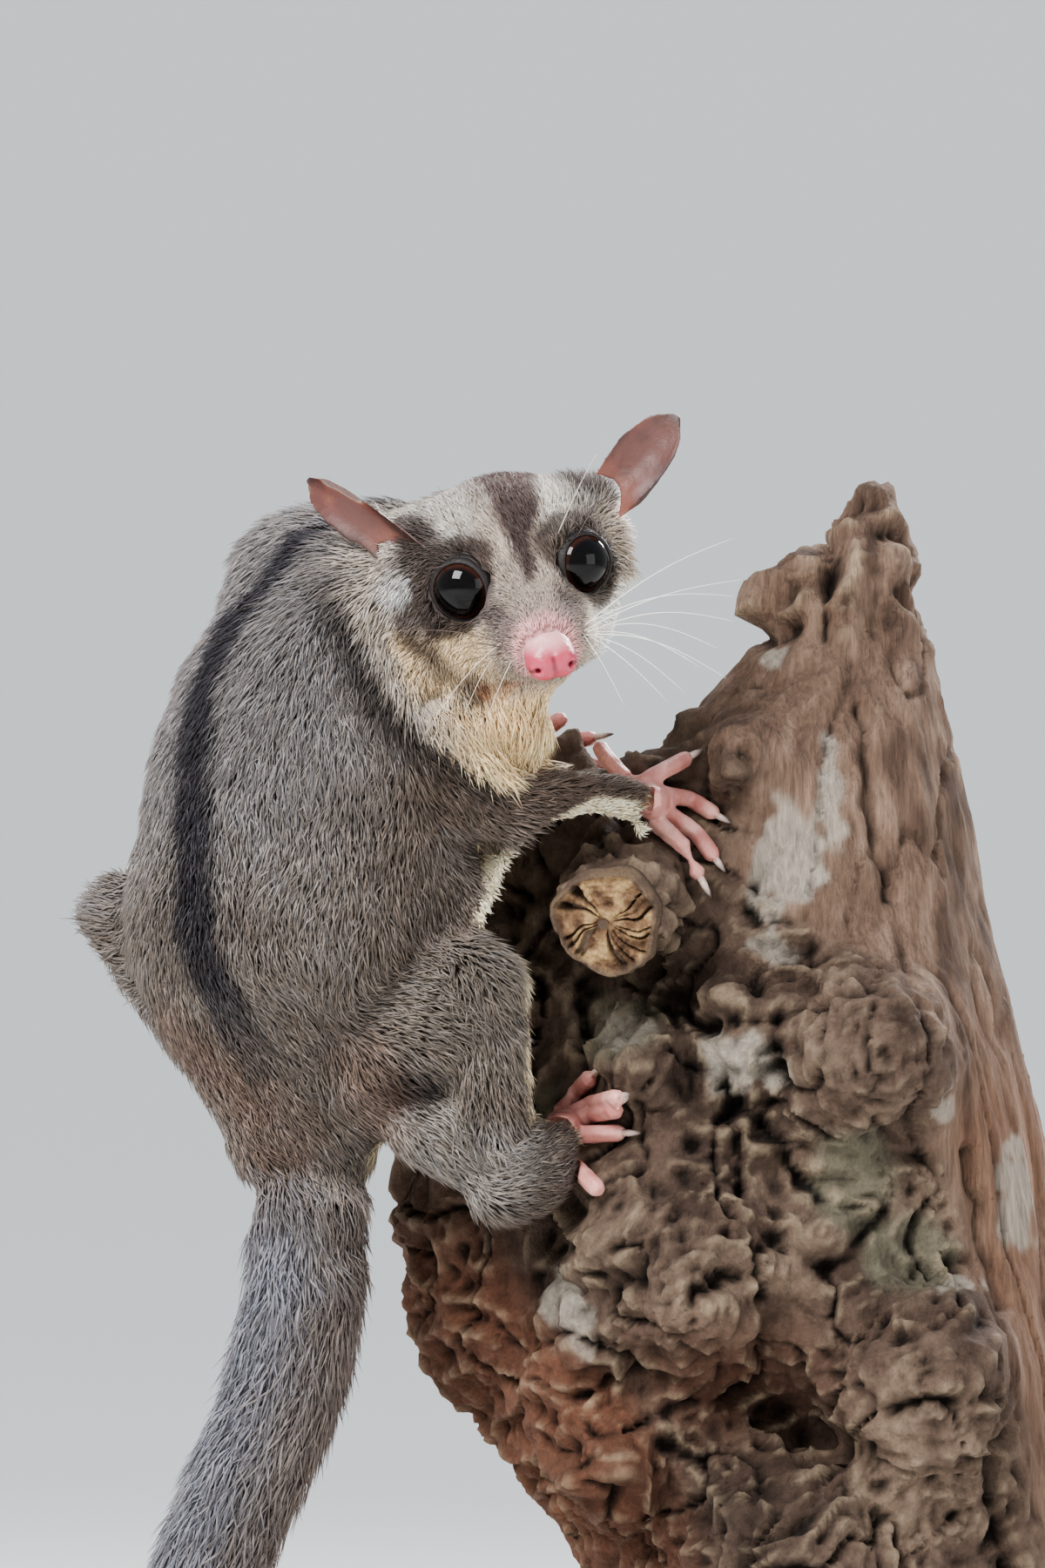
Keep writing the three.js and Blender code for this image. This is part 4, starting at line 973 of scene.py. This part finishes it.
# Knots: x, z, radius, rise, depth of the pit and its radius, all in millimetres
KNOTS = [
    (51.3, 186.2, 10.5, 1.8, 1.2, 2.5), (45.6, 197.6, 3.2, 3.2, 0.0, 1), (57.3, 140.0, 8.5, 1.6, 1.4, 2.2),
    (24.1, 173.1, 4.2, 1.2, 3.0, 1.5), (17.1, 182.2, 3.4, 2.0, 1.0, 0.9), (33.6, 195.7, 3.2, 0.6, 5.0, 1.9),
    (31.6, 228.4, 4.6, 1.4, 1.8, 1.3), (12.6, 167.0, 3.6, 1.6, 1.2, 1.2), (45.2, 130.0, 3.2, 0.2, 5.5, 2.2),
    (42.0, 160.4, 3.6, 2.6, 0.0, 1), (5.0, 138.0, 4.2, 2.4, 0.0, 1), (61.0, 120.0, 7.5, 1.6, 1.0, 2.0),
    (19.6, 234.0, 3.2, 1.4, 0.0, 1), (24.0, 150.0, 6.5, 1.6, 0.0, 1),
]
# Ridges and cracks: paths through (x, z), half-width and height, cracks with a height below zero
RIDGES = [
    ([(7, 185), (14, 184), (25, 187), (31, 185)], 2.6, 2.2),
    ([(9, 156), (14, 160), (21, 165), (27, 164.4), (34, 161), (41, 161)], 3.2, 2.8),
    ([(9, 156), (6, 148), (4, 139)], 2.8, 2.2),
    ([(22, 190), (30, 193.4), (40, 192), (43, 186), (38, 180)], 2.2, 1.8),
    ([(40, 178), (43, 170), (46, 160), (44, 150)], 2.4, 1.6),
    ([(47, 152), (52, 149.6), (60, 149), (66, 144), (66, 136)], 2.2, 2.0),
    ([(49, 140), (50, 133), (56, 129), (63, 131)], 2.2, 1.8), ([(14, 128), (22, 118), (30, 106)], 2.6, 2.2),
    ([(36, 128), (44, 120), (52, 114), (60, 108)], 3.0, 2.2),
    ([(34.6, 249), (40, 250), (46, 253), (50, 259)], 1.6, 1.6), ([(34, 256.4), (34.6, 251)], 2.4, 4.2),
    ([(33, 246.2), (38, 247.6)], 1.6, -2.6), ([(43, 261), (45, 257), (44, 253)], 1.4, -2.6),
    ([(46, 268), (53, 266.6)], 1.8, 1.6), ([(27.5, 181), (33, 176.4), (38, 171), (42, 165)], 1.1, -3.6),
    ([(30, 176), (31, 171), (30.4, 166)], 0.95, -2.2), ([(53, 136.2), (57, 137.6), (61.4, 137)], 1.1, -3.0),
    ([(8, 196), (9.4, 188), (9, 183)], 1.2, -3.4), ([(24, 152), (29, 155), (33, 154.6)], 1.0, -2.4),
    ([(36, 192), (38, 180), (33, 178)], 1.0, -2.4), ([(66, 128), (68, 116), (71, 104)], 1.0, -2.6),
    ([(64, 172), (66, 160), (69, 150)], 0.95, -2.0), ([(49, 236), (50, 222), (53, 208)], 0.9, -1.6),
]
STUB_FACE = np.array([12, -17.5, 205])
STUB_WAY = unit(np.array([-0.22, -0.94, -0.26]))


def off_spot(x, z, wide=1.0, tall=1.0):
    return np.hypot((px - x) / wide, (pz - z) / tall)


def bell(distance, width=1.0):
    return np.exp(-((distance / width) ** 2))


# Noise folded at zero: crests as high as 1 with sides of the given steepness
def crests(p, size, seed, steep):
    return 1 - np.abs(noise(p, size, seed)) * steep


# 1 along the lines where the noise is near zero
def cracks(p, size, seed, low, high):
    return faded(np.abs(noise(p, size, seed)), low, high)


near_side = eased(26 - py, 0, 10)
past_edge = px - np.interp(pz, GNARL_HEIGHTS, GNARL_EDGE)
gnarl = eased(-past_edge, -3, 2.5) * faded(pz, 236, 244) * (0.35 + 0.65 * near_side)
warped = mm + np.c_[noise(mm, 9, 1), noise(mm, 9, 2), noise(mm, 9, 3)] * 4
folds = crests(warped, 6.5, 4, 2.9) * 1.25 + crests(warped, 2.9, 5, 2.9) * 0.8
folds += crests(warped, 1.6, 6, 2.9) * 0.34
fissure = cracks(warped, 8, 7, 0.02, 0.12)
along_grain = np.c_[px - np.interp(pz, COLUMN_HEIGHTS, COLUMN_MIDDLE), py, pz * 0.1]
along_grain += (noise(mm, 22, 8) * 1.8)[:, None] * [1, 1, 0]
grain = crests(along_grain, 2.6, 9, 2.6) * 0.34 + noise(along_grain, 1.2, 10) * 0.2
split = cracks(along_grain * [1, 1, 0.7], 6, 11, 0.02, 0.13)
relief = folds * gnarl + grain * (1 - 0.8 * gnarl) - 1.7 * fissure * gnarl - 0.7 * split * (1 - gnarl)
uneven, ring_shift = noise(mm, 3, 13) * 0.7, noise(mm, 4, 14) * 2
for x, z, radius, rise, pit, pit_radius in KNOTS:
    d = off_spot(x, z) + uneven
    weight = bell(d, radius) * near_side
    rings = np.cos(d * 2 * math.pi / 1.9 + ring_shift)
    relief = relief * (1 - 0.5 * weight) + rise * weight + 0.45 * rings * weight
    relief -= pit * bell(d, pit_radius) * near_side
flat = np.c_[px, np.zeros(len(mm)), pz]
shaken = flat + np.c_[noise(mm, 3.4, 15), np.zeros(len(mm)), noise(mm, 3.4, 16)] * 0.9
for path, half, height in RIDGES:
    d = near_path(shaken, [(x, 0, z) for x, z in path])
    relief += height * bell(d, half) * np.maximum(near_side, eased(pz, 238, 244))
relief += eased(pz, 240, 250) * (noise(warped, 4, 17) * 2.2 + crests(mm, 2.4, 18, 2.6) * 0.6)

# Painted shade and painted highlight: depth below its surroundings darkens the wood, height above them
# lightens it
hollow_shade_crest_light = relief - smoothed(relief[:, None], perch_edges, 14)[:, 0]
from_stub = mm - STUB_FACE
stub_height = from_stub @ STUB_WAY
stub_radius = length(from_stub - np.outer(stub_height, STUB_WAY))
on_face = faded(np.abs(stub_height), 1.2, 2.6) * faded(stub_radius, 7.4, 8.4)
HOLD_REACH = 0.006
close = np.full(len(mm), HOLD_REACH)
paw_names = ("hand_right", "foot_right", "hand_left", "foot_left")
for tree in [skin_tree] + [tree_of(bpy.data.objects[f"{name}_skin"]) for name in paw_names]:
    found = [tree.find_nearest(Vector(p), HOLD_REACH)[3] or HOLD_REACH for p in perch_points]
    close = np.minimum(close, found)
held = eased(close * 1000, 1.2, 4.5)
relief = np.where(relief > 0, relief * held, relief * (0.35 + 0.65 * held))
relief = np.clip(relief, -5.5, 4.2) * (1 - on_face) * eased(pz, 103.5, 106)
set_points(perch, perch_points + perch_normals * relief[:, None] / 1000)

tone = noise(mm, 14, 20) * 0.6 + noise(mm, 4, 21) * 0.4
streak = noise(along_grain * [1, 1, 0.8], 2.2, 22)
wood = layered(
    plain("#7d6556", mm),
    ("#a58b79", eased(streak, 0.1, 0.7) * 0.6),
    ("#4d3b32", eased(-streak, 0.05, 0.6) * 0.7),
    ("#a5765a", eased(past_edge, 0, 8) * faded(pz, 170, 200) * 0.32),
    ("#6c594d", gnarl * 0.85),
    ("#9a8472", gnarl * eased(tone, 0.05, 0.5) * 0.65),
    ("#45342b", gnarl * eased(-tone, 0.0, 0.5) * 0.7),
)
LICHEN = [(47, 168, 9), (12, 190, 7), (56, 158, 8), (2, 178, 6)]
for x, z, radius in LICHEN:
    patch = faded(off_spot(x, z) + tone * 4, radius * 0.6, radius)
    wood = layered(wood, ("#85836f", patch * near_side * 0.6))
# Bleached patches: x, z, half-width, half-height and how pale
BLEACHED = [
    (38, 214, 5.5, 10, 0.8), (44.5, 221, 2, 9, 0.7), (36.5, 243, 2, 2.2, 0.8), (32, 184, 5.5, 4, 0.85),
    (15, 189, 4, 2.6, 0.6), (36, 201, 4, 2, 0.7), (71, 164, 2.2, 8, 0.7), (62.4, 153, 3, 2, 0.7),
    (8, 150, 2.6, 6, 0.8), (60, 178, 1.6, 3, 0.6),
]
frayed = noise(mm, 2.4, 23) * 0.5 + streak * 0.7
for x, z, wide, tall, amount in BLEACHED:
    patch = faded(off_spot(x, z, wide, tall) + frayed, 0.7, 1.15)
    wood = layered(wood, ("#b9afa2", patch * near_side * amount))
red = faded(px - np.interp(pz, [103, 120, 137, 150, 170], [30, 24, 16, 2, -10]), -4, 4)
red = np.maximum(red * faded(pz, 150, 172), 0.8 * bell(off_spot(30, 139, 13, 8)))
wood = layered(
    wood,
    ("#7c4b35", red * (0.62 + 0.3 * tone)),
    ("#2a1b14", bell(off_spot(31, 121, 12, 8)) * near_side * 0.6),
    # painted highlight on raised wood and painted shade in its hollows
    ("#c9b498", eased(hollow_shade_crest_light, 0.3, 1.3) * 0.45),
    ("#150e0b", eased(-hollow_shade_crest_light, 0.1, 1.2) * 0.92),
    ("#b08d66", eased(104.4 - pz, 0, 0.8)),
)
# The paint's alpha holds how gnarled the wood is: fibres run along the grain, crumbs cover the burls
paint(perch, np.clip(wood, 0.003, 1), gnarl)
fibre = grain_noise(wood_material, 0.8, (1, 1, 0.1), 6, 0.66)
crumbs = grain_noise(wood_material, 1.5, (1, 1, 0.8), 8, 0.72)
where = add(wood_material, "ShaderNodeAttribute", attribute_name="markings").outputs["Alpha"]
surface = add(wood_material, "ShaderNodeMix", {0: where, 2: fibre, 3: crumbs}, data_type="FLOAT").outputs[0]
marked(wood_material, surface, 0.1, 1.9)
bumped(wood_material, surface, 2.2)
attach(perch, "root")
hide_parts("perch_trunk")

# Stub: the sawn face of a branch, dried and split into rays from its heart, with a rim of old bark. It
# is a closed disc with the rings and splits in its mesh, set on the trunk's stub.
stub_material = new_material("end_grain", Roughness=0.8, Specular_IOR_Level=0.3)
stub_u = unit(np.cross(STUB_WAY, [0, 0, 1]))
STUB_FRAME = np.array([stub_u, np.cross(stub_u, STUB_WAY), STUB_WAY])
STUB_SPOKES, STUB_CIRCLES, STUB_BACK = 180, 48, -2.0
grid_a = np.tile(circle(STUB_SPOKES), STUB_CIRCLES)
grid_r = np.repeat(np.arange(1, STUB_CIRCLES + 1) / STUB_CIRCLES, STUB_SPOKES)
radius = grid_r * 7.9 * (1 + 0.05 * np.sin(3 * grid_a + 1) + 0.03 * np.sin(7 * grid_a))
flat = np.c_[np.cos(grid_a) * radius, np.sin(grid_a) * radius, np.zeros(len(radius))]
heart = flat + [30, 30, 0]
swirl = grid_a + 0.16 * noise(heart, 2.4, 30) + 0.05 * radius
ray_place = np.c_[np.cos(swirl) * 4, np.sin(swirl) * 4, np.zeros(len(swirl))] + 40
ray_depth = cracks(ray_place, 0.8, 31, 0.02, 0.16) * eased(radius, 0.8, 2.4) * faded(grid_r, 0.8, 0.94)
rings = np.sin(radius * 2 * math.pi / 0.95 + noise(heart, 3, 32) * 3)
chips = noise(heart, 1.5, 33) * 0.5 + noise(heart, 0.6, 34) * 0.2
bark_rim = eased(grid_r, 0.82, 0.92)
height = 0.35 + rings * 0.08 * (1 - bark_rim) + chips - ray_depth * 1.4
height += bark_rim * (0.5 + noise(heart, 1.6, 35) * 0.6) - 1.6 * eased(grid_r, 0.95, 1.0)
height -= 0.9 * faded(length(flat - [0.5, -0.6, 0]), 0.5, 1.5)
back = flat[-STUB_SPOKES:] + [0, 0, STUB_BACK]
local = np.vstack([flat + height[:, None] * [0, 0, 1], back, (0, 0, -0.4), (0, 0, STUB_BACK)])
stub_faces = capped_faces(STUB_CIRCLES + 1, STUB_SPOKES)
stub = mesh_object("stub_face", metres(STUB_FACE + local @ STUB_FRAME), stub_faces, stub_material)
filler = np.zeros(STUB_SPOKES + 2)
end_grain = layered(
    plain("#8b6d52", local),
    ("#c2a276", np.r_[eased(chips, 0.02, 0.25), filler] * 0.75),
    ("#523a2b", np.r_[eased(-chips, 0.0, 0.25), filler] * 0.75),
    ("#66564a", np.r_[bark_rim, filler + 1] * 0.85),
    # painted shade in the splits
    ("#1f1510", np.r_[ray_depth, filler] * 0.9),
)
end_grain[-2] = linear("#1f1510")
paint(stub, end_grain)
crumbs = grain_noise(stub_material, 0.5, (1, 1, 1), 5, 0.65)
marked(stub_material, crumbs, 0.3, 1.7)
bumped(stub_material, crumbs, 1.0)
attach(stub, "root")

# Stand: a lacquered dark wooden board with eased edges, and two brushed steel rods with thin collars.
# The board and rods keep the CAD's sizes.
plinth_material = new_material(
    "lacquered_board", Roughness=0.34, Coat_Weight=0.4, Coat_Roughness=0.12
)
board_grain = grain_noise(plinth_material, 2.4, (0.06, 1, 1), 6, 0.6)
shaded(plinth_material, board_grain, "#1d120c", "#4b3022", (0.3, 0.72))
bumped(plinth_material, board_grain, 0.05)
steel_material = new_material("brushed_steel", Metallic=1.0)
brushing = grain_noise(steel_material, 0.35, (1, 1, 0.02), 4)
shaded(steel_material, brushing, "#8f9193", "#c4c6c8")
gloss = add(steel_material, "ShaderNodeMapRange", {"Value": brushing, "To Min": 0.24, "To Max": 0.42})
drive(steel_material, "Roughness", gloss.outputs["Result"])
bumped(steel_material, brushing, 0.02)

shape = welded(["stand_base"])
bmesh.ops.dissolve_limit(shape, angle_limit=0.02, verts=shape.verts, edges=shape.edges)
board = object_of("board", shape, plinth_material)
bevel = board.modifiers.new("eased", "BEVEL")
bevel.width, bevel.segments, bevel.limit_method, bevel.angle_limit = 0.0016, 4, "ANGLE", math.radians(50)
apply_modifiers(board)
board.data.set_sharp_from_angle(angle=math.radians(24))
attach(board, "root")
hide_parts("stand_base")

ROD_FOOT, ROD_TOP, ROD_RADIUS, ROD_AROUND = 10.0, 102.9, 4.0, 64
ROD_PROFILE = [(0.1, ROD_FOOT), (7.0, ROD_FOOT), (7.0, ROD_FOOT + 1.6), (6.4, ROD_FOOT + 2.0)]
ROD_PROFILE += [(ROD_RADIUS, ROD_FOOT + 2.0), (ROD_RADIUS, ROD_TOP), (0.1, ROD_TOP)]
end = np.arange(1, ROD_AROUND - 1)
foot_cap, top_cap = np.c_[0 * end, end + 1, end], np.c_[0 * end, end, end + 1]
top_cap += (len(ROD_PROFILE) - 1) * ROD_AROUND
rod_faces = np.vstack([grid_faces(len(ROD_PROFILE), ROD_AROUND), foot_cap, top_cap])
for name, x, y in [("stand_rod_left", 34, 24), ("stand_rod_right", 76, 24)]:
    rod_points = metres(turned_points(ROD_PROFILE, ROD_AROUND, x, y))
    rod = mesh_object(f"{name}_turned", rod_points, rod_faces, steel_material)
    rod.data.set_sharp_from_angle(angle=math.radians(35))
    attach(rod, "root")
    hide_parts(name)

# Floor and backdrop: one wide pale matt sheet, flat under the stand and curving up far away on every
# side, with a faint paper tooth.
backdrop_material = new_material(
    "paper_sheet", Base_Color="#e9e8e4", Roughness=0.9, Emission_Color="#e6e8ea", Emission_Strength=0.18
)
bumped(backdrop_material, grain_noise(backdrop_material, 3), 0.05)
FLAT_RADIUS, CURVE_RADIUS, WALL_TOP, SHEET_AROUND = 9.0, 3.5, 9.0, 96
bend = np.linspace(0, math.pi / 2, 24)
profile = [(r, 0.0) for r in (0.5, 1.0, 2.0, 4.0, 6.5)]
profile += zip(FLAT_RADIUS + CURVE_RADIUS * np.sin(bend), CURVE_RADIUS * (1 - np.cos(bend)))
profile += [(FLAT_RADIUS + CURVE_RADIUS, WALL_TOP)]
sheet_points = np.vstack([turned_points(profile, SHEET_AROUND), (0, 0, 0)])
sheet_faces = grid_faces(len(profile), SHEET_AROUND)[:, ::-1]
sheet_faces = np.vstack([fan(len(sheet_points) - 1, 0, SHEET_AROUND), sheet_faces])
backdrop = mesh_object("backdrop", sheet_points, sheet_faces, backdrop_material)

# Light: a broad soft key from the upper left, a fill from the right and a rim light from behind.
world = bpy.data.worlds.new("studio")
world.use_nodes = True
background = world.node_tree.nodes["Background"].inputs
background["Color"].default_value = (*linear("#dce6f2"), 1)
background["Strength"].default_value = 0.85
bpy.context.scene.world = world
LIGHT_AIM = Vector((0, 0, 0.2))
for name, place, power, size in [
    ("key", (-0.75, -1.0, 1.25), 40, 0.75),
    ("fill", (1.2, -1.0, 0.5), 6, 0.9),
    ("rim", (0.5, 0.9, 0.9), 28, 0.5),
]:
    lamp = bpy.data.lights.new(name, "AREA")
    lamp.energy, lamp.size = power, size
    light = bpy.data.objects.new(name, lamp)
    light.location = place
    light.rotation_euler = (LIGHT_AIM - Vector(place)).to_track_quat("-Z", "Y").to_euler()
    bpy.context.scene.collection.objects.link(light)

# Camera: level, from the animal's right side, 1.6 m away, with the photograph's frame.
CAMERA_AWAY, FRAME_WIDTH, SENSOR_WIDTH = 1600, 150, 36
camera_data = bpy.data.cameras.new("camera")
camera_data.sensor_fit = "HORIZONTAL"
camera_data.sensor_width = SENSOR_WIDTH
camera_data.lens = SENSOR_WIDTH * CAMERA_AWAY / FRAME_WIDTH
camera = bpy.data.objects.new("camera", camera_data)
camera.location = Vector(metres((0, -CAMERA_AWAY, 224.5)))
camera.rotation_euler = (math.pi / 2, 0, 0)
bpy.context.scene.collection.objects.link(camera)
bpy.context.scene.camera = camera
bpy.context.scene.view_settings.view_transform = "AgX"
bpy.context.scene.view_settings.look = "AgX - Medium High Contrast"
